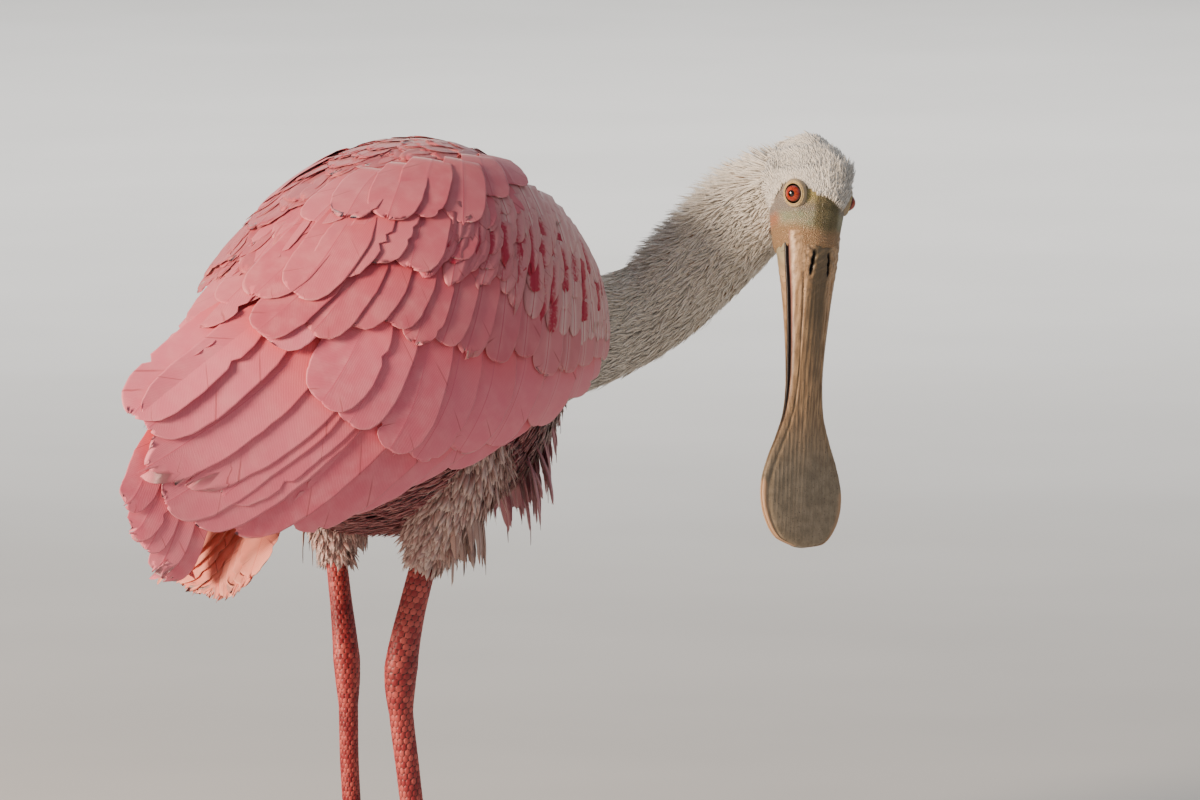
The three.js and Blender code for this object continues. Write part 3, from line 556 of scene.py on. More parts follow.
# Upper tail coverts: share of the tail's length, how many, how far they lie above it, and their width
TAIL_COVERTS = ((0.72, 10, 4.5, 22), (0.55, 9, 7, 20), (0.38, 8, 9, 18))


def tail_lot(rng, shares, length_share, lift, width, outline, stations, fray):
    base, tip = np.array(TAIL["base"], float), np.array(TAIL["tip"], float)
    along = unit(tip - base)
    up = unit(np.array([-along[2], 0, along[0]])) * np.sign(-along[2])
    length = np.linalg.norm(tip - base) * length_share
    turn = np.radians(TAIL["fan"] * shares)[:, None]
    left = np.array([0.0, 1.0, 0.0])
    heading = along * np.cos(turn) + left * np.sin(turn)
    side = left * np.cos(turn) - along * np.sin(turn)
    droop = 4 * stations ** 2
    run = length[:, None] * stations
    rise = lift[:, None] * stations - 7 * shares[:, None] ** 2 - droop + 2
    centre = (base + np.outer(9 * shares, left))[:, None] + heading[:, None] * run[..., None]
    centre = centre + up * rise[..., None]
    tilt = np.where(shares > 0, -0.14, 0.14)[:, None]
    across = np.repeat(unit(side + up * tilt)[:, None], len(stations), 1)
    normal = np.repeat(unit(up - side * tilt)[:, None], len(stations), 1)
    half = np.full(len(shares), width / 2) * rng.uniform(0.94, 1.06, len(shares))
    lot = vanes(rng, centre, across, normal, half, outline, stations, VANE_COLUMNS, fray=fray, split=0.14,
                thick=0.6)
    spot = np.stack([0.5 + 0.4 * shares, np.full(len(shares), 0.3 + 0.5 * length_share.mean())], -1)
    return *lot, vane_patches(len(shares), stations, VANE_COLUMNS, spot, (0.03, 0.1))


def tail_plumage():
    rng = np.random.default_rng(SEEDS["tail"])
    fan = np.linspace(-1, 1, TAIL["feathers"])
    order = fan[np.argsort(-np.abs(fan))]
    lots = [tail_lot(rng, order, 1 - 0.06 * order ** 2, 2.6 * (1 - np.abs(order)), TAIL["width"], LONG_VANE,
                     even_stations(22), 0.03)]
    for reach, count, lift, width in TAIL_COVERTS:
        shares = np.linspace(-0.85, 0.85, count) + rng.normal(0, 0.03, count)
        lots.append(tail_lot(rng, shares, np.full(count, reach) * rng.uniform(0.92, 1.05, count),
                             lift - 2 * np.abs(shares), width, ROUND_VANE, even_stations(16), 0.04))
    points, faces, measures, patches = merged(lots)
    measures["dye"] = np.zeros((len(points), 3))
    return mesh_piece("tail_feathers", points, faces, measures, patches)


# Down and short plumes

def tufts(rng, roots, lie, out, length, width, thick=0.35, curl=0.3, rise=0.35):
    """Flat tapered tufts of one bend: each starts under the surface, rises by rise and follows the lie.

    roots, lie and out are (tufts, 3); the others are one number a tuft."""
    n = len(roots)
    aside = unit(np.cross(lie, out))
    shares = np.array([0, 0.4, 0.75, 1.0])
    widths = np.array([0.7, 1.0, 0.62, 0.0])
    rings = []
    for share, wide in zip(shares, widths):
        lift = rise * share * (1 - curl * share)
        middle = roots + lie * (length * share * 0.95)[:, None] + out * (length * lift)[:, None]
        if wide == 0:
            rings.append(middle[:, None])
            continue
        half = (width * wide / 2)[:, None]
        flat = thick * (1 - 0.6 * share)
        rings.append(np.stack([middle - aside * half, middle + aside * half, middle + out * flat], 1))
    points = np.concatenate(rings, 1)
    quads = []
    for r in (0, 1):
        for i in range(3):
            a, b = r * 3 + i, r * 3 + (i + 1) % 3
            quads.append([a, b, b + 3, a + 3])
    triangles = [[0, 2, 1]] + [[6 + i, 6 + (i + 1) % 3, 9] for i in range(3)]
    start = (np.arange(n) * TUFT_POINTS)[:, None, None]
    faces = [(np.array(quads)[None] + start).reshape(-1, 4),
             (np.array(triangles)[None] + start).reshape(-1, 3)]
    place = np.tile(np.repeat(shares, [3, 3, 3, 1]), (n, 1))
    seed = np.repeat(rng.random((n, 1)), TUFT_POINTS, 1)
    edge = np.tile([1, 1, 0] * 3 + [0], (n, 1))
    measures = {"place": np.stack([place, edge, seed], -1).reshape(-1, 3)}
    return points.reshape(-1, 3), faces, measures


TUFT_PATCH = 0.003  # across a tuft's patch of the bake map
TUFT_POINTS = 10


def tuft_map(spots):
    """A small patch for each tuft, at its root's place on the unwrap."""
    local = np.array([
        [-.5, 0], [.5, 0], [0, .1], [-.5, .4], [.5, .4], [0, .4], [-.3, .75], [.3, .75], [0, .75], [0, 1],
    ])
    return np.clip(spots[:, None] + (local - [0, 0.5]) * TUFT_PATCH, 0, 1).reshape(-1, 2)


def laid_along(lie, out):
    """The lie of each tuft, kept along the surface under it."""
    return unit(lie - out * np.einsum("ij,ij->i", lie, out)[:, None])


def scattered(rng, rows, columns):
    """Evenly spread places in the unit square, each moved a little."""
    a, b = np.meshgrid(np.arange(rows), np.arange(columns), indexing="ij")
    spots = np.stack([a + 0.5 * (b % 2), b], -1).reshape(-1, 2).astype(float)
    spots += rng.uniform(-0.42, 0.42, spots.shape)
    return np.clip((spots + 0.5) / [rows + 0.5, columns], 0, 1)


NECK_PATH = np.array([
    (72, 0, 270), (104, -4, 268), (140.3, -18.3, 272.3), (163.2, -34.7, 284.2),
    (177.7, -55.3, 305.2), (183.5, -78.3, 326.6), (184.5, -101, 341.5), (184, -112, 346),
])
NECK_RADII = np.array([44, 42, 37, 31.5, 28, 26, 25.5, 25, 24.5, 22.5, 18.0])
NECK_ASIDE = np.array([0.3, 0.8, 0.4])


def run_along(path):
    """The distance along a path of points, at each of them."""
    return np.concatenate([[0], np.cumsum(np.linalg.norm(np.diff(path, axis=0), axis=1))])


def neck_line(share):
    """Centre, along, across, depth and radius of the neck at shares of its length."""
    steps = np.linspace(0, 1, 400)
    run = run_along(through(NECK_PATH, steps))
    at = np.interp(np.asarray(share), run / run[-1], steps)
    centre = through(NECK_PATH, at)
    along = unit(through(NECK_PATH, np.clip(at + 0.005, 0, 1))
                 - through(NECK_PATH, np.clip(at - 0.005, 0, 1)))
    depth = unit(np.cross(along, NECK_ASIDE))
    across = unit(np.cross(depth, along))
    radius = np.interp(share, np.linspace(0, 1, len(NECK_RADII)), NECK_RADII)
    return centre, along, across, depth, radius


def neck_surface(share, angle, inset):
    centre, along, across, depth, radius = neck_line(share)
    out = across * np.cos(angle)[..., None] + depth * np.sin(angle)[..., None]
    return centre + out * (radius - inset)[..., None], out, along


NECK_COAT = 5.5  # depth of the neck's plumes over its skin
# Lots of neck plumes: rows, columns, length, width, rise and how deep they root
NECK_LOTS = {
    "neck_long_plumes": [(108, 78, 9.5, 1.9, 0.16, 4.6), (60, 50, 8.0, 0.7, 0.4, 4.0)],
    "neck_short_plumes": [(124, 92, 6.5, 1.1, 0.22, 3.5)],
}


def neck_plumage(name):
    """Short shaggy plumes of the neck, pointing down it towards the body."""
    rng = np.random.default_rng(SEEDS[name])
    lots = []
    for rows, columns, length, width, rise, inset in NECK_LOTS[name]:
        spots = scattered(rng, rows, columns)
        n = len(spots)
        share, angle = np.clip(spots[:, 0] * 0.93 + 0.1, 0, 1), spots[:, 1] * 2 * math.pi
        at, out, along = neck_surface(share, angle, inset + rng.uniform(-0.5, 0.5, n))
        clump = np.sin(angle * 9 + 14 * share) + np.sin(share * 61 + 3 * angle)
        turn = 0.16 * clump + rng.normal(0, 0.2, n)
        lie = unit(-along + out * rng.normal(0.0, 0.1, n)[:, None] + np.cross(along, out) * turn[:, None])
        long = length * blend(1.25, 0.75, share) * rng.uniform(0.7, 1.3, n)
        points, faces, measures = tufts(rng, at, lie, out, long, width * rng.uniform(0.6, 1.4, n), rise=rise,
                                        curl=0.5, thick=0.25)
        lots.append((points, faces, measures, tuft_map(spots[:, ::-1])))
    return tuft_piece(name, lots)


# The ruff starts at this share of the neck's length; its plumes grow longer from there to the head.
RUFF = {"start": 0.47, "rows": 88, "columns": 110, "reach": (12, 18), "width": 1.5}


def nape_ruff():
    """Longer plumes on the neck's upper side, fluffed up so that the neck runs into the back of the head."""
    rng = np.random.default_rng(SEEDS["nape_ruff"])
    spots = scattered(rng, RUFF["rows"], RUFF["columns"])
    share, angle = blend(RUFF["start"], 1.0, spots[:, 0]), spots[:, 1] * 2 * math.pi
    at, out, along = neck_surface(share, angle, 4.0 + rng.uniform(-0.6, 0.6, len(share)))
    upward = ramp(out[:, 2], 0.1, 0.8) * ramp(share, RUFF["start"], RUFF["start"] + 0.16)
    kept = upward > 0.12
    spots, share, at, out, along, upward = (part[kept] for part in (spots, share, at, out, along, upward))
    n = len(at)
    sway = np.cross(along, out) * rng.normal(0, 0.22, n)[:, None]
    lie = unit(-along + out * (1.05 * upward * rng.uniform(0.6, 1.15, n))[:, None] + sway)
    long = blend(*RUFF["reach"],
                 ramp(share, 0.55, 0.95)) * blend(0.45, 1.0, upward) * rng.uniform(0.6, 1.1, n)
    points, faces, measures = tufts(rng, at, lie, out, long, RUFF["width"] * rng.uniform(0.5, 1.3, n),
                                    rise=0.3, curl=0.55, thick=0.25)
    return tuft_piece("nape_ruff", [(points, faces, measures, tuft_map(spots[:, ::-1]))])


def tuft_piece(name, lots):
    points, faces = gathered([(lot[0], lot[1]) for lot in lots])
    measures = {key: np.concatenate([lot[2][key] for lot in lots]) for key in lots[0][2]}
    return mesh_piece(name, points, faces, measures, np.vstack([lot[3] for lot in lots]))


# Rows of [forward, half width, height above, depth below]
SKULL = np.array([
    [-29, 5, 5, 6], [-26, 11, 10, 12], [-18, 18, 17, 18], [-7, 22, 21, 21], [4, 22, 21, 21],
    [14, 19.5, 18.5, 20], [23, 17.5, 16, 18.5], [31, 16, 14.5, 17],
], float)


def skull_surface(forward, angle, inset):
    half, above, below = (np.interp(forward, SKULL[:, 0], SKULL[:, k]) for k in (1, 2, 3))
    tall = np.where(np.sin(angle) > 0, above, below)
    left, up = (half - inset) * np.cos(angle), (tall - inset) * np.sin(angle)
    out = unit(np.stack([np.zeros_like(left), left / (half * half), up / (tall * tall)], -1) @ HEAD_AXES)
    return in_head(forward, left, up), out


def feather_line(degrees):
    """How far forward the head's feathers reach, at degrees round it from its left side over the crown."""
    wrapped = (np.asarray(degrees) + 180) % 360 - 180
    line = np.array([(-180, 5), (-165, 9), (-150, 11), (-120, 15), (-90, 17), (-60, 15), (-30, 11), (-12, 8),
                     (0, 5), (15, -1), (30, -3), (44, 6), (58, 11), (74, 9), (90, 6), (110, 5), (128, 1),
                     (145, -3), (165, -1), (180, 5)])
    return np.interp(wrapped, line[:, 0], line[:, 1])


def skull_normal(forward, angle, inset):
    """The true outward direction of the skull's surface."""
    step = 0.6
    run = skull_surface(forward + step, angle, inset)[0] - skull_surface(forward - step, angle, inset)[0]
    turn = skull_surface(forward, angle + 0.02, inset)[0] - skull_surface(forward, angle - 0.02, inset)[0]
    normal = unit(np.cross(run, turn))
    flip = np.sign(np.einsum("ij,ij->i", normal, skull_surface(forward, angle, inset)[1]))
    return normal * np.where(flip == 0, 1, flip)[:, None]


# Lots of head plumes: rows, columns, length, width and rise
HEAD_LOTS = ((68, 96, 4.6, 1.5, 0.12), (60, 84, 3.4, 0.8, 0.28))
HEAD_INSET = 1.7


def head_plumage():
    """The small close plumes of the head, shortest at their front line on the forehead and cheeks."""
    rng = np.random.default_rng(SEEDS["head"])
    lots = []
    for rows, columns, length, width, rise in HEAD_LOTS:
        spots = scattered(rng, rows, columns)
        angle = spots[:, 1] * 2 * math.pi
        front = feather_line(np.degrees(angle))
        forward = blend(-28.3, front, spots[:, 0] ** 0.8) + rng.normal(0, 0.5, len(front))
        at, _ = skull_surface(forward, angle, HEAD_INSET)
        out = skull_normal(forward, angle, HEAD_INSET)
        throat = ramp(np.sin(angle), 0.05, -0.5)
        nape = np.maximum(ramp(forward, -8, -26), throat)[:, None]
        lie = unit(blend(-BILL_DIRECTION, -CROWN_DIRECTION, nape))
        lie = unit(lie + np.cross(lie, out) * rng.normal(0, 0.25, len(out))[:, None])
        lie = laid_along(lie, out)
        long = length * blend(1.2, 0.5, ramp(forward - front, -14, 0)) * rng.uniform(0.7, 1.25, len(out))
        turned = (np.degrees(angle) + 180) % 360 - 180
        ruffled = ramp(turned, 15, 52) * ramp(turned, 125, 74) * ramp(forward, -24, 0)
        behind = throat * ramp(forward, 12, -4)
        long = long * (1 + 1.0 * ruffled + 1.7 * behind)
        points, faces, measures = tufts(rng, at, lie, out, long, width * rng.uniform(0.7, 1.3, len(out)),
                                        rise=rise + 0.42 * ruffled + 0.2 * behind, thick=0.2)
        lots.append((points, faces, measures, tuft_map(spots[:, ::-1])))
    return tuft_piece("head_plumes", lots)


# Lots of the trunk's down: rows, columns, length, width, rise and how deep they root
TRUNK_LOTS = ((62, 78, 14, 3.0, 0.2, 4.0), (70, 84, 11, 1.5, 0.32, 3.0))


def trunk_plumage():
    """Loose down of the breast, belly and vent, between the neck, the wings and the legs."""
    rng = np.random.default_rng(SEEDS["trunk"])
    lots = []
    for rows, columns, length, width, rise, inset in TRUNK_LOTS:
        spots = scattered(rng, rows, columns)
        x = blend(-98, 106.5, spots[:, 0])
        side = np.where(spots[:, 1] < 0.5, RIGHT, LEFT)
        degrees = blend(180, blend(66, 2, ramp(x, 30, 70)), np.abs(spots[:, 1] - 0.5) * 2)
        n = len(spots)
        at = on_outline(TRUNK, x, degrees, side)
        out = trunk_normal(x, degrees, side)
        at = at - out * (inset + rng.uniform(-0.8, 0.8, n))[:, None]
        lie = unit(np.array([-1.0, 0, -0.35]) + rng.normal(0, 0.2, (n, 3)))
        lie = laid_along(lie, out)
        long = length * rng.uniform(0.75, 1.3, n)
        points, faces, measures = tufts(rng, at, lie, out, long, width * rng.uniform(0.7, 1.3, n), rise=rise)
        measures["pale"] = np.repeat(ramp(x + rng.normal(0, 5, n), 40, 92), TUFT_POINTS)
        lots.append((points, faces, measures, tuft_map(spots)))
    return tuft_piece("belly_down", lots)


def trunk_normal(x, degrees, side):
    right, left = (outline_normal(TRUNK, x, degrees, s) for s in (RIGHT, LEFT))
    return np.where((side > 0)[:, None], left, right)


# Hanging plumes of breast and thighs

HANGING_STATIONS = even_stations(11)


def hanging_plumes(rng, root, outward, drop, half_width, spread):
    """Long soft vanes that leave the body outwards and then hang, with frayed ends."""
    stations = HANGING_STATIONS
    count = len(root)
    run = stations[None, :, None]
    sway = rng.normal(0, 0.12, (count, 1, 3)) * [1, 1, 0]
    centre = root[:, None] + (outward[:, None] + sway) * (spread[:, None, None] * run * (2 - run))
    centre = centre - np.array([0, 0, 1.0]) * (drop[:, None, None] * run)
    along = unit(np.gradient(centre, axis=1))
    aside = unit(np.cross(outward, [0, 0, 1.0]))[:, None] + np.zeros_like(centre)
    normal = unit(np.cross(aside, along))
    points, faces, measures = vanes(rng, centre, aside, normal, half_width, NARROW_VANE, stations,
                                    SMALL_COLUMNS, fray=0.1, split=0.4, thick=0.4, camber=0.25, shaft=0.2)
    measures["dye"] = np.zeros((len(points), 3))
    return points, faces, measures


def hanging_patches(spot):
    return vane_patches(len(spot), HANGING_STATIONS, SMALL_COLUMNS, spot, (0.02, 0.04))


# Rows of breast plumes: X, half the row's width, height and how many
BREAST_ROWS = ((99, 36, 248, 18), (94, 42, 241, 19), (89, 46, 234, 20), (83, 50, 227, 21), (75, 56, 219, 22),
               (66, 60, 211, 22))


def breast_plumage():
    rng = np.random.default_rng(SEEDS["breast"])
    lots = []
    for x, reach, z, count in BREAST_ROWS:
        place = np.linspace(-1, 1, count) + rng.normal(0, 0.04, count)
        root = np.stack([x - 16 * place ** 2, reach * 0.82 * place, z + 6 * place ** 2], -1)
        outward = unit(np.stack([np.full(count, 0.7), 0.6 * place, np.zeros(count)], -1))
        drop = 27 + rng.uniform(-7, 11, count)
        points, faces, measures = hanging_plumes(rng, root, outward, drop, rng.uniform(2.6, 5.6, count),
                                                 rng.uniform(5, 11, count))
        spot = np.stack([0.5 + 0.45 * place, np.full(count, x / 120)], -1)
        lots.append((points, faces, measures, hanging_patches(spot)))
    return mesh_piece("breast_plumes", *merged(lots))


LEGS = {
    "right": dict(side=RIGHT, stout=1.25,
                  thigh=[(16, -42, 236), (11, -42, 214), (2, -36, 190), (-5, -32, 171)],
                  thigh_radii=([0, .3, .6, .85, 1], [26, 25, 20, 14.5, 10]),
                  shank=[(0, -34, 184), (-5, -32, 171), (-13, -22.5, 113), (-8, -23, 60), (0, -25, 9)]),
    "left": dict(side=LEFT, stout=1.0, thigh=[(16, 42, 236), (11, 42, 214), (2, 35, 190), (-4, 30, 168)],
                 thigh_radii=([0, .3, .6, .85, 1], [26, 24, 17, 11.5, 8]),
                 shank=[(0, 33, 184), (-4, 30, 168), (-10, 17, 113), (-6, 19, 60), (2, 22, 9)]),
}
THIGH_DEPTH = 0.82  # a thigh's depth as a share of its width
# Lots of thigh down: rows, columns, length, width and rise
THIGH_LOTS = ((40, 50, 14, 3.4, 0.2), (44, 58, 10, 1.3, 0.34))
THIGH_INSET = 3.0
# Rings of plumes over the bare leg: height, how many, how far they hang and how far out they root
FRINGE_ROWS = ((204, 22, 30, 12), (196, 22, 26, 9), (188, 18, 20, 6))


def thigh_surface(leg, share, angle, inset):
    steps = np.linspace(0, 1, 60)
    path = through(leg["thigh"], steps)
    along, across, depth = frames_along(path, np.array([1.0, 0, 0]))

    def at(rows):
        return np.stack([np.interp(share, steps, rows[:, j]) for j in range(3)], -1)

    radius = np.interp(share, *leg["thigh_radii"]) - inset
    out = at(across) * np.cos(angle)[..., None] + at(depth) * (THIGH_DEPTH * np.sin(angle))[..., None]
    return at(path) + out * radius[..., None], unit(out), unit(at(along))


def thigh_plumage(name):
    """The down all round the thigh."""
    leg = LEGS[name]
    rng = np.random.default_rng(SEEDS["thigh"] + leg["side"])
    lots = []
    for rows, columns, length, width, rise in THIGH_LOTS:
        spots = scattered(rng, rows, columns)
        n = len(spots)
        at, out, along = thigh_surface(leg, spots[:, 0] * 0.99, spots[:, 1] * 2 * math.pi, THIGH_INSET)
        lie = unit(along + rng.normal(0, 0.2, (n, 3)))
        long = length * rng.uniform(0.7, 1.35, n) * blend(1, 0.75, spots[:, 0])
        points, faces, measures = tufts(rng, at, lie, out, long, width * rng.uniform(0.7, 1.3, n), rise=rise)
        lots.append((points, faces, measures, tuft_map(spots)))
    return tuft_piece(f"thigh_{name}_down", lots)


def thigh_fringe(name):
    """Frayed plumes that hang from the thigh over the top of the bare leg."""
    leg = LEGS[name]
    rng = np.random.default_rng(SEEDS["fringe"] + leg["side"])
    lots = []
    for level, count, drop, out_by in FRINGE_ROWS:
        angle = np.linspace(0, 2 * math.pi, count, endpoint=False) + rng.normal(0, 0.08, count)
        outward = np.stack([np.cos(angle), np.sin(angle), np.zeros(count)], -1)
        rows = np.array(leg["thigh"], float)[::-1]
        middle = np.array([np.interp(level, rows[:, 2], rows[:, k]) for k in range(2)] + [level])
        root = middle + outward * out_by + rng.normal(0, 0.8, (count, 3))
        fall = drop * rng.uniform(0.75, 1.2, count)
        points, faces, measures = hanging_plumes(rng, root, outward, fall, rng.uniform(2.4, 4.4, count),
                                                 rng.uniform(2, 6, count))
        spot = np.stack([angle / 6.4, np.full(count, level / 260)], -1)
        lots.append((points, faces, measures, hanging_patches(spot)))
    return mesh_piece(f"thigh_{name}_plumes", *merged(lots))


# The one skin

SKIN_VOXEL = 1.9
# How deep the skin lies under the solids' outside, by the coat over it
TRUNK_COAT = 5.0
SKULL_COAT = 1.6
THIGH_COAT = 3.6


def inside(table, x, degrees, side, depth):
    """Points at a depth under a section's outline."""
    normal = outline_normal(table, np.full(len(degrees), x), degrees, side)
    return on_outline(table, x, degrees, side) - normal * depth


def trunk_form(inset):
    rear, front = TRUNK[0][0], TRUNK[-1][0]
    x = blend(rear, front, 0.5 - 0.5 * np.cos(np.linspace(0, math.pi, 40)))
    degrees = np.linspace(0, 180, 33)
    back_up = degrees[1:-1][::-1]
    rings = []
    for at in np.clip(x, rear + inset, front - inset):
        rings.append(np.vstack([inside(TRUNK, at, degrees, RIGHT, inset),
                                inside(TRUNK, at, back_up, LEFT, inset)]))
    return tube(rings)


# The lower edge of the wing's flesh: X and degrees round the section
WING_EDGE = [(-122, 122), (-95, 124), (-65, 118), (-30, 117), (10, 119), (50, 119), (85, 112), (105, 100)]
WING_DEPTH = 6.5


def wing_form(side):
    """The flesh of a folded wing: a curved slab, thickest at the shoulder."""
    steps = 22
    taper = np.sin(np.linspace(0.12, math.pi - 0.12, steps)) ** 0.5
    rings = []
    for share in np.linspace(0, 1, 26):
        x = folded(blend(-118, 101, share), np.array(side))
        low = through(WING_EDGE, share)[1] - 7
        degrees = np.linspace(4, low, steps)
        normal = outline_normal(WING_OF[side], np.full(steps, x), degrees, side)
        outer = inside(WING_OF[side], x, degrees, side, WING_DEPTH)
        inner = outer - normal * (blend(5, 16, math.sin(math.pi * min(share * 1.15, 1) / 2)) * taper)[:, None]
        rings.append(np.vstack([outer, inner[::-1]]))
    return tube(rings)


def round_form(path, radius, aside, around=28, flat=1.0):
    along, across, depth = frames_along(path, aside)
    angle = np.linspace(0, 2 * math.pi, around, endpoint=False)
    ring = across[:, None] * np.cos(angle)[:, None] + depth[:, None] * (flat * np.sin(angle))[:, None]
    return tube(path[:, None] + ring * np.asarray(radius)[:, None, None])


def skull_form(inset):
    angle = np.linspace(0, 2 * math.pi, 48, endpoint=False)
    forward = np.linspace(SKULL[0, 0] + inset, 30.5, 44)
    return tube([skull_surface(np.full(48, at), angle, inset * ramp(at, 26, 2))[0] for at in forward])


def bird_skin():
    """One skin for trunk, wings, neck, head, thighs and the tail's root, inside the plumage."""
    neck_centre, _, _, _, neck_radius = neck_line(np.linspace(0, 1, 60))
    forms = [trunk_form(TRUNK_COAT), wing_form(RIGHT), wing_form(LEFT),
             round_form(neck_centre, neck_radius - NECK_COAT, NECK_ASIDE), skull_form(SKULL_COAT)]
    ahead, leftward = np.array([1.0, 0, 0]), np.array([0, 1.0, 0])
    thigh_steps = np.linspace(0, 0.97, 30)
    for leg in LEGS.values():
        radius = np.interp(thigh_steps, *leg["thigh_radii"]) - THIGH_COAT
        forms.append(round_form(through(leg["thigh"], thigh_steps), radius, ahead, flat=THIGH_DEPTH))
    ridge_x = np.linspace(88, -92, 24)
    ridge = np.stack([ridge_x, 0 * ridge_x, section_at(WINGS, ridge_x)[:, 0] - 17], -1)
    forms.append(round_form(ridge, np.full(len(ridge), 13.8), leftward))
    root = through([(-66, 0, 240), TAIL["base"], (-92, 0, 207)], np.linspace(0, 1, 16))
    forms.append(round_form(root, np.linspace(20, 9, len(root)), leftward, flat=0.5))
    forms = [(points, turned_out(points, faces)) for points, faces in forms]
    skin = mesh_piece("bird_skin", *gathered(forms))
    remesh = skin.modifiers.new("knit", "REMESH")
    remesh.mode = "VOXEL"
    remesh.voxel_size = SKIN_VOXEL * MM
    remesh.use_smooth_shade = True
    smoothing = skin.modifiers.new("ease", "SMOOTH")
    smoothing.factor = 0.5
    smoothing.iterations = 3
    apply_modifiers(skin)
    shape_face(skin)
    return skin


def apply_modifiers(piece):
    """Keeps the mesh that the modifiers make, and takes them off."""
    mesh = bpy.data.meshes.new_from_object(piece.evaluated_get(bpy.context.evaluated_depsgraph_get()))
    old = piece.data
    piece.modifiers.clear()
    piece.data = mesh
    bpy.data.meshes.remove(old)


def design_points(mesh):
    """A finished mesh's points in the bird's own frame."""
    flat = np.zeros(len(mesh.vertices) * 3)
    mesh.vertices.foreach_get("co", flat)
    return flat.reshape(-1, 3) / MM - FRAME_SHIFT


def shape_face(skin):
    """Sinks the orbits and the lores of the bare face, and marks where the skin is bare, white or pink."""
    points = design_points(skin.data)
    local = head_measures(points)
    forward, left, up = local.T
    near_head = ramp(np.linalg.norm(local, axis=1), 60, 45)
    side = np.abs(left)
    orbit = np.exp(-(((forward - EYE["forward"]) / 8) ** 2 + ((up - EYE["up"]) / 7) ** 2)) * ramp(side, 6, 12)
    lores = np.exp(-(((forward - 19) / 7) ** 2 + ((up - 5) / 6) ** 2)) * ramp(side, 6, 12)
    inward = (orbit * 0.9 + lores * 1.2) * near_head
    moved = points - (np.sign(left) * inward)[:, None] * LEFT_DIRECTION
    skin.data.vertices.foreach_set("co", placed(moved).astype(np.float32).ravel())
    angle = np.degrees(np.arctan2(up, left))
    bare = ramp(forward - feather_line(angle), -1.5, 0.5) * near_head
    neck_share = ramp(points[:, 0], 96, 122) * (points[:, 0] > 90)
    marks = np.stack([bare, neck_share, ramp(points[:, 2], 230, 200)], -1)
    keep_measures(skin.data, {"marks": marks, "face": np.stack([forward, side, up], -1)})
    skin.data.update()


# Bill

BILL_START = 22
BILL_LENGTH = 159
BILL_SAG = 2.3
# Rows of [distance from the forehead, half width, height above the mouth line, depth below it]
BILL = np.array([
    [0, 15.5, 13.5, 15], [6, 15.8, 13.4, 14.4], [15, 15.2, 12.4, 12.6], [28, 13.6, 10.4, 10.2],
    [45, 12, 8.4, 7.8], [61, 10.9, 6.8, 6], [78, 10.5, 5.4, 4.8], [92, 12, 4.4, 4], [104, 16, 3.9, 3.5],
    [116, 21, 3.7, 3.2], [128, 24.4, 3.7, 3], [139, 24.2, 3.6, 2.8], [149, 20.4, 3.4, 2.6],
    [156, 14.2, 3, 2.2], [159, 6, 2, 1.6],
], float)
MOUTH_GAP = 0.34
GAPE_RISE = 3.6  # the mouth line runs this much higher at the corner of the mouth
NOSTRIL = {"distance": 16, "aside": 5.0, "length": 14, "width": 1.8}


def bill_half(upper):
    """One half of the bill, with its long grooves, the slits of the nostrils, and wrinkles at its base."""
    rings, around, under_steps = 260, 110, 24
    distance = np.linspace(0, BILL_LENGTH, rings)
    half, above, below = (smooth_rows(BILL, distance, k) for k in (1, 2, 3))
    half[-6:] = half[-6:] * np.array([1, 0.98, 0.94, 0.86, 0.72, 0.5])  # the spoon's end closes round
    face = 1 if upper else -1
    gape = GAPE_RISE * np.exp(-(distance / 55) ** 2)
    reach = (above if upper else below) - face * gape
    half = half - (0.7 if upper else -0.2) * ramp(distance, 0, 8) * ramp(distance, 100, 60)
    sag = BILL_SAG * (distance / BILL_LENGTH) ** 2 - gape
    dome = np.linspace(0, math.pi, around)
    across = np.cos(dome)
    tall = np.sin(dome) ** 0.8
    d, a = np.meshgrid(distance, across, indexing="ij")
    height = (reach[:, None] - 0.5) * tall[None]
    left = face * half[:, None] * a
    crest = tall[None] ** 0.5
    height = height + bill_relief(d, left, half[:, None], upper) * crest
    up = face * (MOUTH_GAP / 2 + 0.5 + height) - sag[:, None]
    top = in_head(BILL_START + d, left, up)
    under_across = np.linspace(-0.98, 0.98, under_steps)
    under_left = face * half[:, None] * under_across[None]
    under = in_head(BILL_START + distance[:, None], under_left, (face * MOUTH_GAP / 2 - sag)[:, None])
    flat = np.zeros_like(under_left)
    measures = {
        "bill": np.stack([d[:, :1] + np.zeros(around + under_steps), np.concatenate([left, under_left], 1),
                          np.concatenate([np.abs(a), flat + np.abs(under_across)], 1)], -1),
        "gape": np.stack([np.concatenate([height, flat], 1),
                          np.concatenate([nostril_at(d, left) * crest if upper else 0 * d, flat], 1),
                          np.full((rings, around + under_steps), float(upper))], -1),
    }
    return np.concatenate([top, under], 1), measures


def nostril_at(d, left):
    """How deep each place lies in the nostrils' slits."""
    slit_line = NOSTRIL["aside"] + 0.09 * (d - NOSTRIL["distance"])
    along = (d - NOSTRIL["distance"]) / (NOSTRIL["length"] / 2)
    return np.exp(-((np.abs(left) - slit_line) / (NOSTRIL["width"] / 2)) ** 2) * np.clip(1 - along ** 4, 0, 1)


def smooth_rows(rows, at, column):
    padded = np.hstack([rows, rows[:, :1] * 0])
    return section_at(padded[:, [0, 1, 2, 3, 3]], at)[..., column - 1]


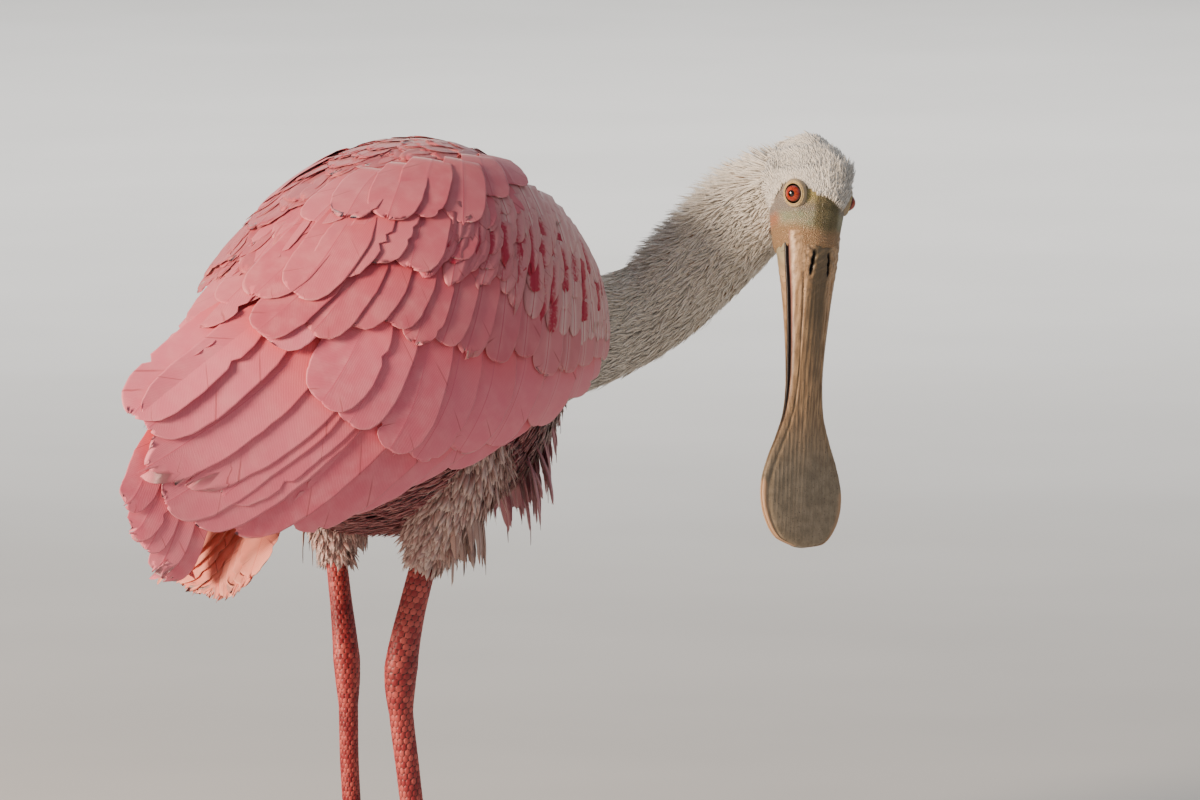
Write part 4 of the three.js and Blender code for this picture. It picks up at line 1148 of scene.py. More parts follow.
def bill_relief(d, left, half, upper):
    """Heights of the bill's own form over a plain dome, in mm."""
    place = left / half
    wrinkles = 0.42 * np.sin(d * 1.3 + 2.6 * np.sin(left * 0.45)) * np.exp(-(d / 22) ** 2)
    wrinkles += 0.2 * np.sin(d * 2.3 + left * 1.7 + 1.5 * np.sin(d * 0.7)) * np.exp(-(d / 28) ** 2)
    if not upper:
        channel = -1.4 * np.exp(-(place / 0.3) ** 2) * ramp(d, 20, 60) * ramp(d, 150, 120)
        return wrinkles * 0.7 + channel * 0.5
    slit = -2.6 * nostril_at(d, left)
    along = (d - NOSTRIL["distance"]) / (NOSTRIL["length"] / 2)
    rim = 0.5 * np.exp(-((np.abs(left) - NOSTRIL["aside"]) / 3.2) ** 2) * np.exp(-along ** 2 * 0.5)
    groove_place = np.interp(d, [8, 40, 84, 120, 140, 158, 171], [0.66, 0.64, 0.7, 0.84, 0.9, 0.9, 0.8])
    groove = -0.75 * np.exp(-((np.abs(place) - groove_place) / 0.045) ** 2) * ramp(d, 10, 30)
    ridge = 0.5 * np.exp(-(place / 0.28) ** 2) * ramp(d, 30, 60) * ramp(d, 160, 110)
    lines = 0.1 * np.sin(left * 2.6 + 0.6 * np.sin(d * 0.11)) * ramp(d, 20, 50) * ramp(d, 170, 120)
    lip = 0.5 * ramp(np.abs(place), 0.9, 0.99) * ramp(d, 90, 120)
    return wrinkles + slit + rim + groove + ridge + lines + lip


def bill_piece(name, upper):
    rings, measures = bill_half(upper)
    points, faces = tube(rings)
    ends = {"bill": [[0, 0, 0], [BILL_LENGTH, 0, 0]], "gape": [[5, 0, float(upper)]] * 2}
    measures = {key: np.vstack([values.reshape(-1, 3), ends[key]]) for key, values in measures.items()}
    return mesh_piece(name, points, turned_out(points, faces), measures)


# Eyes

EYE_LOOK = (0.22, 0.85, 0.48)  # which way an eye looks: forward, outward and up in the head's frame


def eye_axis(side):
    return unit(np.array(EYE_LOOK) * [1, side, 1] @ HEAD_AXES)


def eye_frame(side):
    axis = eye_axis(side)
    aside = unit(np.cross(axis, BILL_DIRECTION))
    return axis, aside, unit(np.cross(aside, axis))


def eye_ball(side):
    """The eyeball with its iris cup and a clear swelling in front, as one glossy body."""
    axis, aside, along = eye_frame(side)
    centre = in_head(EYE["forward"], side * EYE["left"], EYE["up"])
    around, rows = 64, 48
    polar = np.linspace(0.01, math.pi - 0.01, rows)
    turn = np.linspace(0, 2 * math.pi, around, endpoint=False)
    bulge = 0.55 * np.exp(-(polar / 0.6) ** 2)
    radius = EYE["radius"] - 0.15 + bulge
    ring = np.cos(turn)[None, :, None] * aside + np.sin(turn)[None, :, None] * along
    forward, outward = radius * np.cos(polar), radius * np.sin(polar)
    rings = centre + axis * forward[:, None, None] + ring * outward[:, None, None]
    points, faces = tube(rings)
    off_axis = np.concatenate([np.repeat(EYE["radius"] * np.sin(polar) * np.where(polar < 1.57, 1, 9), 64),
                               [0, 99]])
    spoke = np.concatenate([np.tile(turn, 48), [0, 0]])
    return points, turned_out(points, faces), np.stack([off_axis, np.cos(spoke), np.sin(spoke)], -1)


def eye_piece(name, side):
    points, faces, measures = eye_ball(side)
    return mesh_piece(name, points, faces, {"eye": measures})


LID_OPENING = 4.55  # radius of the opening between the lids


def lid_piece(name, side):
    """The bare ring round the eye: a soft, finely wrinkled fold with a narrow dark inner rim."""
    axis, aside, along = eye_frame(side)
    centre = in_head(EYE["forward"], side * EYE["left"], EYE["up"])
    turn = np.linspace(0, 2 * math.pi, 120, endpoint=False)
    profile = [(LID_OPENING - 0.2, 1.2), (LID_OPENING, 2.5), (LID_OPENING + 0.25, 2.85),
               (LID_OPENING + 0.7, 2.75), (LID_OPENING + 0.95, 2.35), (LID_OPENING + 1.3, 2.4),
               (LID_OPENING + 1.7, 1.9), (LID_OPENING + 2.1, 1.1), (LID_OPENING + 2.3, 0.0),
               (LID_OPENING + 1.0, -0.6)]
    steps = np.linspace(0, 1, 34)
    line = through(profile, steps)
    rings = []
    for k, (reach, height) in enumerate(line):
        fold = 0.14 * np.sin(turn * 26 + 2 * math.sin(k)) * np.sin(math.pi * steps[k])
        wide = reach * (1 + 0.08 * np.cos(turn) ** 2)
        out = (np.cos(turn) * wide)[:, None] * along + (np.sin(turn) * wide * 0.94)[:, None] * aside
        rings.append(centre + out + axis * (height + fold)[:, None])
    rings = np.array(rings)
    count, around = rings.shape[:2]
    faces = ring_faces(count, around)
    close = np.arange(around)
    base = (count - 1) * around
    faces = np.vstack([faces, np.stack([base + close, base + (close + 1) % around, (close + 1) % around,
                                        close], -1)])
    points = rings.reshape(-1, 3)
    return mesh_piece(name, points, turned_out(points, [faces]), {"lid": np.repeat(steps, around)})


# Legs and feet

SHANK_ROWS = np.array([
    [0, 4.2, 5.6], [0.24, 4.4, 6.4], [0.34, 5, 7.2], [0.4, 5.6, 7.6], [0.46, 5.2, 6.8],
    [0.53, 4.2, 5.2], [0.86, 4, 4.8], [0.94, 5, 5.6], [1, 5.4, 6],
])
LEG_RINGS = 340
SCUTE_RISE = 0.4
SHANK_GIRTH = 5.3  # the radius at which the scutes are laid out round a leg
SCUTES_ROUND = 12


def scute_height(u, v, size):
    """Hexagonal scutes over a plane in mm: 0 in the grooves and 1 within each scute, and each one's seed."""
    row = size * 0.866
    best = np.full(u.shape, 1e9)
    second = np.full(u.shape, 1e9)
    seed = np.zeros(u.shape)
    base_row = np.floor(v / row)
    for dr in (-1, 0, 1):
        r = base_row + dr
        offset = np.where(r % 2 == 0, 0, size / 2)
        base_column = np.floor((u - offset) / size)
        for dc in (0, 1):
            c = base_column + dc
            du = u - (c * size + offset)
            dv = v - r * row
            far = np.hypot(du, dv)
            closer = far < best
            second = np.where(closer, best, np.minimum(second, far))
            seed = np.where(closer, np.abs(np.sin(r * 12.9898 + c * 78.233) * 43758.5453) % 1, seed)
            best = np.where(closer, far, best)
    return np.clip((second - best) / size * 2, 0, 1), seed


def leg_piece(name):
    """The bare leg from the thigh's plumes down to the foot, with its scutes raised in the skin."""
    leg = LEGS[name]
    path = through(leg["shank"], np.linspace(0, 1, LEG_RINGS))
    along, across, depth = frames_along(path, np.array([0, 1.0, 0]))
    run = run_along(path)
    share = run / run[-1]
    wide, deep = (np.interp(share, SHANK_ROWS[:, 0], SHANK_ROWS[:, k]) * leg["stout"] for k in (1, 2))
    around = 80
    angle = np.linspace(0, 2 * math.pi, around, endpoint=False)
    girth = SHANK_GIRTH * leg["stout"]
    u = angle[None] * girth * np.ones((LEG_RINGS, 1))
    size = 2 * math.pi * girth / SCUTES_ROUND
    v = run[:, None] * np.ones((1, around))
    edge, seed = scute_height(u, v, size)
    rise = SCUTE_RISE * ramp(edge, 0.0, 0.5) - SCUTE_RISE * 0.5
    groove = -0.7 * np.exp(-(np.cos(angle) / 0.16) ** 2)[None] * ramp(share, 0.05, 0.2)[:, None]
    groove = groove * ramp(np.abs(share - 0.4), 0.02, 0.08)[:, None]
    ring = (across[:, None] * (np.cos(angle)[None] * wide[:, None])[..., None]
            + depth[:, None] * (np.sin(angle)[None] * deep[:, None])[..., None])
    rings = path[:, None] + ring + unit(ring) * (rise + groove * 0.6)[..., None]
    points, faces = tube(rings)
    measures = np.vstack([np.stack([edge, seed, v], -1).reshape(-1, 3), [[1, 0, 0], [1, 0, run[-1]]]])
    return mesh_piece(f"leg_{name}_scutes", points, turned_out(points, faces), {"scute": measures})


# Each toe's direction, in degrees outwards from straight ahead, and its length
TOES = [(12, 80), (-14, 66), (40, 70), (184, 30)]
# A toe's radius at its root and tip, the flat under it, the pitch of the plates on top, the scutes below and
# the radius at which those are laid out
TOE = {"root": 4.3, "tip": 2.7, "flat": 0.7, "plate": 2.6, "scute": 1.5, "girth": 3.4}
TOE_RINGS = 96
PAD = {"radius": 5.9, "height": 5.0, "scute": 2.3, "girth": 5.5, "length": 6}
WEBS = ((-14, 12), (12, 40))  # from which toe to which, in degrees
WEB_REACH = 19


def toe_form(heel, side, degrees, length):
    """One toe, flat underneath, with plates on top and small scutes at its sides."""
    heading = math.radians(-side * degrees)
    direction = np.array([math.cos(heading), -math.sin(heading), 0])
    share = np.linspace(0, 1, TOE_RINGS)
    radius = blend(TOE["root"], TOE["tip"], share) * (1 + 0.09 * np.cos(share * 3 * math.pi))
    radius = radius * np.where(share > 0.97, np.sqrt(np.clip(1 - ((share - 0.97) / 0.034) ** 2, 0.05, 1)), 1)
    height = blend(TOE["root"], TOE["tip"], share) - TOE["flat"] + 3.5 * (1 - share) ** 3
    path = heel * [1, 1, 0] + direction * (length * share)[:, None] + np.array([0, 0, 1.0]) * height[:, None]
    along, across, depth = frames_along(path, np.array([direction[1], -direction[0], 0]))
    around = 40
    angle = np.linspace(0, 2 * math.pi, around, endpoint=False)
    run = share * length
    plate = np.abs(np.sin(np.pi * run / TOE["plate"]))[:, None] ** 0.5 * np.ones((1, around))
    beads, seed = scute_height(angle[None] * TOE["girth"] * np.ones((TOE_RINGS, 1)),
                               run[:, None] * np.ones((1, around)), TOE["scute"])
    out = across[:, None] * np.cos(angle)[None, :, None] + depth[:, None] * np.sin(angle)[None, :, None]
    on_top = ramp(out[..., 2], 0.1, 0.5)
    edge = blend(ramp(beads, 0, 0.5), plate, on_top)
    rings = path[:, None] + out * (radius[:, None] + 0.3 * edge - 0.25)[..., None]
    rings[..., 2] = np.maximum(rings[..., 2], 0.02)
    points, faces = tube(rings)
    measures = np.vstack([np.stack([edge, seed, run[:, None] + 0 * edge], -1).reshape(-1, 3),
                          [[1, 0, 0], [1, 0, length]]])
    return points, turned_out(points, faces), measures


def web_form(heel, side, start, end):
    """The short web of skin between two front toes."""
    turn = np.radians(-side * np.linspace(start, end, 18))
    between = np.sin(np.linspace(0, math.pi, len(turn)))
    far = WEB_REACH + 6 - 10 * between
    out = np.linspace(0.02, 1, 12)
    x = np.outer(out, far * np.cos(turn))
    y = np.outer(out, -far * np.sin(turn))
    sag = 0.5 * between[None] * out[:, None]
    rings = []
    for face in (1, -1):
        z = 1.8 - sag + face * 0.55
        rings.append(heel * [1, 1, 0] + np.stack([x, y, z * np.ones_like(x)], -1))
    top, low = rings
    ring = np.concatenate([top, low[:, ::-1]], 1)
    points, faces = tube(ring)
    return points, turned_out(points, faces), np.tile([0.7, 0.5, 0], (len(points), 1))


def pad_form(heel):
    """The round pad under the heel, where the toes meet."""
    polar = np.linspace(0.05, math.pi - 0.05, 40)
    turn = np.linspace(0, 2 * math.pi, 64, endpoint=False)
    down, around = np.meshgrid(polar, turn, indexing="ij")
    edge, seed = scute_height(around * PAD["girth"], down * PAD["length"], PAD["scute"])
    radius = PAD["radius"] + 0.3 * ramp(edge, 0, 0.5)
    out = np.stack([np.sin(down) * np.cos(around), np.sin(down) * np.sin(around), np.cos(down)], -1)
    rings = heel * [1, 1, 0] + [0, 0, PAD["height"]] + out * radius[..., None]
    rings[..., 2] = np.maximum(rings[..., 2], 0.05)
    points, faces = tube(rings)
    measures = np.vstack([np.stack([edge, seed, 0 * edge], -1).reshape(-1, 3), [[1, 0, 0], [1, 0, 0]]])
    return points, turned_out(points, faces), measures


def foot_piece(name):
    """The bare foot: toes, webs and pad as one piece."""
    leg = LEGS[name]
    heel = np.array(leg["shank"][-1], float)
    parts = [toe_form(heel, leg["side"], *toe) for toe in TOES]
    parts += [web_form(heel, leg["side"], *web) for web in WEBS] + [pad_form(heel)]
    points, faces = gathered([part[:2] for part in parts])
    return mesh_piece(f"foot_{name}_scutes", points, faces, {"scute": np.vstack([part[2] for part in parts])})


# Colours and finishes

def linear(colour):
    """A colour written as sRGB hex, as linear light."""
    parts = [int(colour[i:i + 2], 16) / 255 for i in (1, 3, 5)]
    return (*(p / 12.92 if p <= 0.04045 else ((p + 0.055) / 1.055) ** 2.4 for p in parts), 1.0)


def add(tree, kind, *values, sockets=None, out=0, **settings):
    """Adds a node, sets its properties, fills its sockets in order or by name, and gives one of its outputs.

    A value is a plain one or another node's output."""
    made = tree.nodes.new(kind)
    for key, value in settings.items():
        setattr(made, key, value)
    for socket, value in [*enumerate(values), *(sockets or {}).items()]:
        if isinstance(value, bpy.types.NodeSocket):
            tree.links.new(value, made.inputs[socket])
        else:
            made.inputs[socket].default_value = value
    return made.outputs[out]


def finish(name, **surface):
    """A new material with its surface shader set up, and the shader's node tree."""
    material = bpy.data.materials.new(name)
    material.use_nodes = True
    tree = material.node_tree
    shader = tree.nodes["Principled BSDF"]
    for socket, value in surface.items():
        shader.inputs[socket.replace("_", " ")].default_value = value
    return material, tree, shader


def tinted(tree, share, first, second, start=0.0, end=1.0):
    """One colour passing into another as share goes from start to end."""
    passing = add(tree, "ShaderNodeMapRange", share, start, end, interpolation_type="SMOOTHSTEP")
    first, second = (linear(colour) if isinstance(colour, str) else colour for colour in (first, second))
    return add(tree, "ShaderNodeMix", passing, sockets={6: first, 7: second}, out=2, data_type="RGBA")


def measure(tree, name):
    """A measure kept on the mesh, and its three parts."""
    kept = add(tree, "ShaderNodeAttribute", out="Vector", attribute_name=name)
    return kept, add(tree, "ShaderNodeSeparateXYZ", kept).node.outputs


def surfaced(tree, shader, tone, height, strength, depth, shade=None):
    """Gives the shader its colour, dimmed by a shade, and its fine relief, of a depth in millimetres."""
    if shade is not None:
        tone = add(tree, "ShaderNodeMix", 1.0, sockets={6: tone, 7: shade}, out=2, data_type="RGBA",
                   blend_type="MULTIPLY")
    tree.links.new(tone, shader.inputs["Base Color"])
    bump = add(tree, "ShaderNodeBump",
               sockets={"Height": height, "Strength": strength, "Distance": depth * MM})
    tree.links.new(bump, shader.inputs["Normal"])


BARB_PITCH = 1.1  # barbs are 0.4 mm apart; drawn coarser so that they show
BARB_SLANT = 0.8  # how far a barb leans towards the tip for each millimetre from the shaft
FADED_PINK = "#D3A5A4"
SHAFT_WHITE = "#E6CBC6"
CARMINE_DYE = "#B3173C"
SLIT_SHADE = "#A8434C"  # the shaded gap where two barbs have come apart
SLIT_SPREAD = 0.02  # how often barbs come apart along a vane
SLIT_LEVEL = 0.56


def vane_material(name, deep, body, light, rim, painted_root_shade):
    """Barbed vane of keratin, dyed through by the bird's own pigments: matt and silky, finely ribbed along
    the barbs, with a paler worn rim, and painted shade near the root where the neighbours cover it,
    warm and saturated as light glowing through them."""
    material, tree, shader = finish(name, Roughness=0.62, IOR=1.54, Sheen_Weight=0.25, Sheen_Roughness=0.4)
    barb, (across, along, seed_mm) = measure(tree, "barb")
    _, (place, edge, seed) = measure(tree, "place")
    _, (carmine, fade, _) = measure(tree, "dye")
    off = add(tree, "ShaderNodeMath", across, operation="ABSOLUTE")
    lean = add(tree, "ShaderNodeMath", off, -BARB_SLANT, along, operation="MULTIPLY_ADD")
    cloud = add(tree, "ShaderNodeTexNoise", sockets={"Vector": barb, "Scale": 0.11, "Detail": 3.0})
    fine = add(tree, "ShaderNodeTexNoise", sockets={"Vector": barb, "Scale": 0.6, "Detail": 4.0})
    wobble = add(tree, "ShaderNodeMath", fine, 5.0, operation="MULTIPLY")
    phase = add(tree, "ShaderNodeMath", lean, 2 * math.pi / BARB_PITCH, wobble, operation="MULTIPLY_ADD")
    ribs = add(tree, "ShaderNodeMath", phase, operation="SINE")
    tone = tinted(tree, seed, deep, body, 0.0, 0.7)
    tone = tinted(tree, cloud, tone, light, 0.3, 0.95)
    # Painted shade at the covered root, in a warm colour for light glowing through the vanes over it.
    tone = tinted(tree, place, painted_root_shade, tone, 0.1, 0.62)
    worn = add(tree, "ShaderNodeMath", place, 0.5, edge, operation="MULTIPLY_ADD")
    tone = tinted(tree, worn, tone, rim, 1.3, 1.8)
    tone = tinted(tree, fade, tone, FADED_PINK)
    beside_shaft = add(tree, "ShaderNodeMapRange", off, 2.8, 0.2, 0.0, 0.8)
    streak = add(tree, "ShaderNodeMath", fade, beside_shaft, operation="MULTIPLY")
    tone = tinted(tree, streak, tone, SHAFT_WHITE, 0.0, 0.7)
    tone = tinted(tree, off, deep, tone, 0.08, 0.42)
    half = add(tree, "ShaderNodeMath", across, operation="SIGN")
    own_place = add(tree, "ShaderNodeMath", half, 37.0, seed_mm, operation="MULTIPLY_ADD")
    line = add(tree, "ShaderNodeMath", lean, SLIT_SPREAD, own_place, operation="MULTIPLY_ADD")
    chance = add(tree, "ShaderNodeTexNoise", sockets={"W": line, "Scale": 1.0, "Detail": 0.0},
                 noise_dimensions="1D")
    missed = add(tree, "ShaderNodeMath", chance, SLIT_LEVEL, operation="SUBTRACT")
    near = add(tree, "ShaderNodeMath", missed, operation="ABSOLUTE")
    open_here = add(tree, "ShaderNodeMapRange", near, 0.0015, 0.007, 1.0, 0.0)
    from_edge = add(tree, "ShaderNodeMapRange", edge, 0.2, 0.55, 0.0, 0.6)
    slit = add(tree, "ShaderNodeMath", open_here, from_edge, operation="MULTIPLY")
    tone = tinted(tree, slit, tone, SLIT_SHADE)
    middle = add(tree, "ShaderNodeMapRange", off, 4.2, 0.8)
    past_root = add(tree, "ShaderNodeMapRange", place, 0.2, 0.5)
    stroke = add(tree, "ShaderNodeMath", middle, past_root, operation="MULTIPLY")
    dyed = add(tree, "ShaderNodeMath", carmine, stroke, operation="MULTIPLY")
    uneven = add(tree, "ShaderNodeMath", fine, 2.0, operation="MULTIPLY")
    red = add(tree, "ShaderNodeMath", dyed, uneven, operation="MULTIPLY")
    tone = tinted(tree, red, tone, CARMINE_DYE, 0.1, 0.6)
    shade = add(tree, "ShaderNodeMapRange", ribs, -1.0, 1.0, 0.93, 1.04)
    height = add(tree, "ShaderNodeMath", ribs, 0.5, fine, operation="MULTIPLY_ADD")
    surfaced(tree, shader, tone, height, 0.2, 0.25, shade)
    return material


def down_material(name, root, body, tip, fleck=None, pale=None):
    """Loose downy feather, grown: matt, soft and pale at its frayed tip, with painted shade darkening it
    among the roots.
    """
    material, tree, shader = finish(name, Roughness=0.8, IOR=1.5, Sheen_Weight=0.35, Sheen_Roughness=0.5)
    _, (place, _, seed) = measure(tree, "place")
    spot = add(tree, "ShaderNodeNewGeometry")
    cloud = add(tree, "ShaderNodeTexNoise", sockets={"Vector": spot, "Scale": 90.0, "Detail": 3.0})
    strands = add(tree, "ShaderNodeTexNoise", sockets={"Vector": spot, "Scale": 1400.0, "Detail": 2.0})
    # Painted shade: from the body colour to the root colour towards the roots.
    tone = tinted(tree, place, root, body, 0.0, 0.55)
    outer = add(tree, "ShaderNodeMath", cloud, 0.5, place, operation="MULTIPLY_ADD")
    tone = tinted(tree, outer, tone, tip, 0.7, 1.15)
    tone = tinted(tree, seed, tone, body, 0.55, 1.25)
    if fleck:
        tone = tinted(tree, seed, tone, fleck, 0.985, 0.992)
    if pale:
        tone = tinted(tree, add(tree, "ShaderNodeAttribute", out="Fac", attribute_name="pale"), tone, pale)
    shade = add(tree, "ShaderNodeMapRange", strands, 0.0, 1.0, 0.86, 1.1)
    surfaced(tree, shader, tone, strands, 0.4, 0.3, shade)
    return material


def skin_material():
    """Living skin, grown, and bare on the face: soft, slightly waxy, with fine wrinkles."""
    material, tree, shader = finish("bare_skin", Roughness=0.5, IOR=1.45, Subsurface_Weight=0.12)
    shader.inputs["Subsurface Radius"].default_value = (0.003, 0.0015, 0.001)
    face, (forward, side, up) = measure(tree, "face")
    _, (bare, neck, belly) = measure(tree, "marks")
    cloud = add(tree, "ShaderNodeTexNoise", sockets={"Vector": face, "Scale": 0.16, "Detail": 4.0})
    fine = add(tree, "ShaderNodeTexVoronoi", sockets={"Vector": face, "Scale": 1.15}, out="Distance",
               feature="DISTANCE_TO_EDGE")
    body = tinted(tree, belly, "#C4696A", "#8E5450")
    body = tinted(tree, neck, body, "#C4B9A8")
    lores = tinted(tree, cloud, "#C2BA9C", "#AFB493", 0.35, 0.65)
    low = tinted(tree, up, "#C98F70", lores, -3.0, 3.0)
    below_eye = tinted(tree, forward, "#ABA096", low, 10.0, 15.0)
    corner = tinted(tree, side, "#CDBB7C", below_eye, 11.0, 15.0)
    corner = tinted(tree, forward, corner, below_eye, 5.0, 13.0)
    forehead = tinted(tree, cloud, "#7C7250", "#9A8C66", 0.35, 0.65)
    face_tone = tinted(tree, side, forehead, corner, 5.5, 9.5)
    to_bill = add(tree, "ShaderNodeMath", side, 0.25, forward, operation="MULTIPLY_ADD")
    face_tone = tinted(tree, to_bill, face_tone, "#BF9A74", 20.0, 26.0)
    tone = tinted(tree, bare, body, face_tone, 0.3, 0.8)
    shade = add(tree, "ShaderNodeMapRange", fine, 0.0, 0.18, 0.78, 1.05)
    folds = add(tree, "ShaderNodeMapRange", fine, 0.0, 0.3)
    height = add(tree, "ShaderNodeMath", folds, cloud, operation="ADD")
    surfaced(tree, shader, tone, height, 1.0, 0.6, shade)
    return material


def bill_material():
    """Horny sheath of keratin, grown: satin, streaked along its length, mottled grey on the spoon."""
    material, tree, shader = finish("bill_keratin", Roughness=0.42, IOR=1.55)
    bill, (distance, left, edge) = measure(tree, "bill")
    _, (off_mouth, slit, is_upper) = measure(tree, "gape")
    off = add(tree, "ShaderNodeMath", left, operation="ABSOLUTE")
    stretched = add(tree, "ShaderNodeMapping", sockets={"Vector": bill, "Scale": (0.12, 1.0, 0.0)})
    streaks = add(tree, "ShaderNodeTexNoise", sockets={"Vector": stretched, "Scale": 0.9, "Detail": 5.0})
    even = add(tree, "ShaderNodeMapping", sockets={"Vector": bill, "Scale": (1.0, 1.0, 0.0)})
    mottle = add(tree, "ShaderNodeTexNoise",
                 sockets={"Vector": even, "Scale": 0.16, "Detail": 6.0, "Roughness": 0.65})
    specks = add(tree, "ShaderNodeTexNoise", sockets={"Vector": even, "Scale": 1.1, "Detail": 3.0})
    base = tinted(tree, streaks, "#AB8560", "#D6B088", 0.35, 0.68)
    middle = tinted(tree, streaks, "#8C7052", "#BE9A72", 0.35, 0.7)
    spoon = tinted(tree, mottle, "#83745E", "#A5937A", 0.3, 0.7)
    tone = tinted(tree, distance, base, middle, 18.0, 70.0)
    tone = tinted(tree, distance, tone, spoon, 84.0, 128.0)
    along_top = add(tree, "ShaderNodeMapRange", off, 3.5, 7.5, 1.0, 0.0)
    top_fades = add(tree, "ShaderNodeMapRange", distance, 40.0, 95.0, 0.85, 0.0)
    upper_top = add(tree, "ShaderNodeMath", along_top, is_upper, operation="MULTIPLY")
    crest = add(tree, "ShaderNodeMath", upper_top, top_fades, operation="MULTIPLY")
    tone = tinted(tree, crest, tone, "#6E5C42")
    near_face = add(tree, "ShaderNodeMapRange", distance, 4.0, 30.0, 0.9, 0.0)
    mostly_lower = add(tree, "ShaderNodeMapRange", is_upper, 0.0, 1.0, 1.0, 0.25)
    cheek = add(tree, "ShaderNodeMath", near_face, mostly_lower, operation="MULTIPLY")
    tone = tinted(tree, cheek, tone, "#A7A488")
    tone = tinted(tree, specks, "#57483F", tone, 0.28, 0.4)
    lip = add(tree, "ShaderNodeMapRange", off_mouth, 0.9, 2.8, 0.8, 0.0)
    lip_fades = add(tree, "ShaderNodeMapRange", distance, 45.0, 110.0, 1.0, 0.0)
    flesh = add(tree, "ShaderNodeMath", lip, lip_fades, operation="MULTIPLY")
    upper_flesh = add(tree, "ShaderNodeMath", flesh, is_upper, operation="MULTIPLY")
    tone = tinted(tree, upper_flesh, tone, "#8A5450")
    # Painted shade: a near-black band along the mouth line, where the gap between the halves lies in shade.
    mouth_line_painted_shade = add(tree, "ShaderNodeMapRange", off_mouth, 0.35, 0.95, 1.0, 0.0)
    mouth_fades = add(tree, "ShaderNodeMapRange", distance, 85.0, 125.0, 1.0, 0.0)
    mouth = add(tree, "ShaderNodeMath", mouth_line_painted_shade, mouth_fades, operation="MULTIPLY")
    tone = tinted(tree, mouth, tone, "#1A0E0C")
    # Painted shade: the nostrils' slits near-black inside.
    tone = tinted(tree, slit, tone, "#0C0706", 0.2, 0.55)
    spoon_only = add(tree, "ShaderNodeMapRange", distance, 100.0, 130.0)
    rim = add(tree, "ShaderNodeMath", edge, spoon_only, operation="MULTIPLY")
    tone = tinted(tree, rim, tone, "#C39C78", 0.86, 0.97)
    shade = add(tree, "ShaderNodeMapRange", streaks, 0.3, 0.7, 0.88, 1.06)
    height = add(tree, "ShaderNodeMath", specks, 0.4, streaks, operation="MULTIPLY_ADD")
    surfaced(tree, shader, tone, height, 0.5, 0.5, shade)
    return material


def eye_material():
    """Wet eye: a mirror-smooth clear front over an orange-red iris with fine spokes, round a black pupil."""
    material, tree, shader = finish("wet_eye", Roughness=0.04, IOR=1.376, Coat_Weight=1.0,
                                    Coat_Roughness=0.02)
    _, (off, spoke_a, spoke_b) = measure(tree, "eye")
    turn_a = add(tree, "ShaderNodeMath", spoke_a, 9.0, operation="MULTIPLY")
    turn_b = add(tree, "ShaderNodeMath", spoke_b, 9.0, operation="MULTIPLY")
    outward = add(tree, "ShaderNodeMath", off, 0.35, operation="MULTIPLY")
    spokes = add(tree, "ShaderNodeCombineXYZ", turn_a, turn_b, outward)
    rays = add(tree, "ShaderNodeTexNoise", sockets={"Vector": spokes, "Scale": 1.0, "Detail": 4.0})
    iris = tinted(tree, rays, "#8A1804", "#C94A14", 0.35, 0.68)
    iris = tinted(tree, off, iris, "#7A1206", 3.0, 3.9)
    iris = tinted(tree, off, "#050304", iris, 1.5, 1.75)
    tree.links.new(tinted(tree, off, iris, "#160B08", 3.85, 4.15), shader.inputs["Base Color"])
    return material


def lid_material():
    """Bare eyelid skin: cream yellow, soft and finely pleated, dark along the wet rim."""
    material, tree, shader = finish("eyelid_skin", Roughness=0.45, IOR=1.45, Subsurface_Weight=0.1)
    shader.inputs["Subsurface Radius"].default_value = (0.002, 0.001, 0.0006)
    place = add(tree, "ShaderNodeAttribute", out="Fac", attribute_name="lid")
    spot = add(tree, "ShaderNodeNewGeometry")
    grain = add(tree, "ShaderNodeTexNoise", sockets={"Vector": spot, "Scale": 1500.0, "Detail": 3.0})
    tone = tinted(tree, grain, "#A98F5C", "#CDB684", 0.3, 0.7)
    tone = tinted(tree, place, "#2A1410", tone, 0.12, 0.26)
    tone = tinted(tree, place, tone, "#A89880", 0.45, 0.75)
    surfaced(tree, shader, tone, grain, 0.4, 0.2)
    return material


def scute_material():
    """Scaly leg skin, grown: satin red scutes about 3 mm across, each a little different, in dark grooves."""
    material, tree, shader = finish("leg_scutes", Roughness=0.48, IOR=1.53)
    _, (edge, seed, _) = measure(tree, "scute")
    spot = add(tree, "ShaderNodeNewGeometry")
    cloud = add(tree, "ShaderNodeTexNoise", sockets={"Vector": spot, "Scale": 60.0, "Detail": 4.0})
    grain = add(tree, "ShaderNodeTexNoise", sockets={"Vector": spot, "Scale": 1800.0, "Detail": 3.0})
    tone = tinted(tree, seed, "#94262B", "#C0544E")
    tone = tinted(tree, cloud, tone, "#7E1B22", 0.5, 0.75)
    tone = tinted(tree, edge, "#2E0A0E", tone, 0.08, 0.42)
    height = add(tree, "ShaderNodeMath", grain, 0.3, edge, operation="MULTIPLY_ADD")
    surfaced(tree, shader, tone, height, 0.5, 0.3)
    return material


def claw_material():
    """Claw horn, grown in layers: dark, hard and satin, paler along fine ridges."""
    material, tree, shader = finish("claw_horn", Roughness=0.32, IOR=1.55)
    spot = add(tree, "ShaderNodeNewGeometry")
    layers = add(tree, "ShaderNodeTexNoise", sockets={"Vector": spot, "Scale": 700.0, "Detail": 4.0})
    surfaced(tree, shader, tinted(tree, layers, "#1C1412", "#4A3A33", 0.35, 0.7), layers, 0.4, 0.15)
    return material
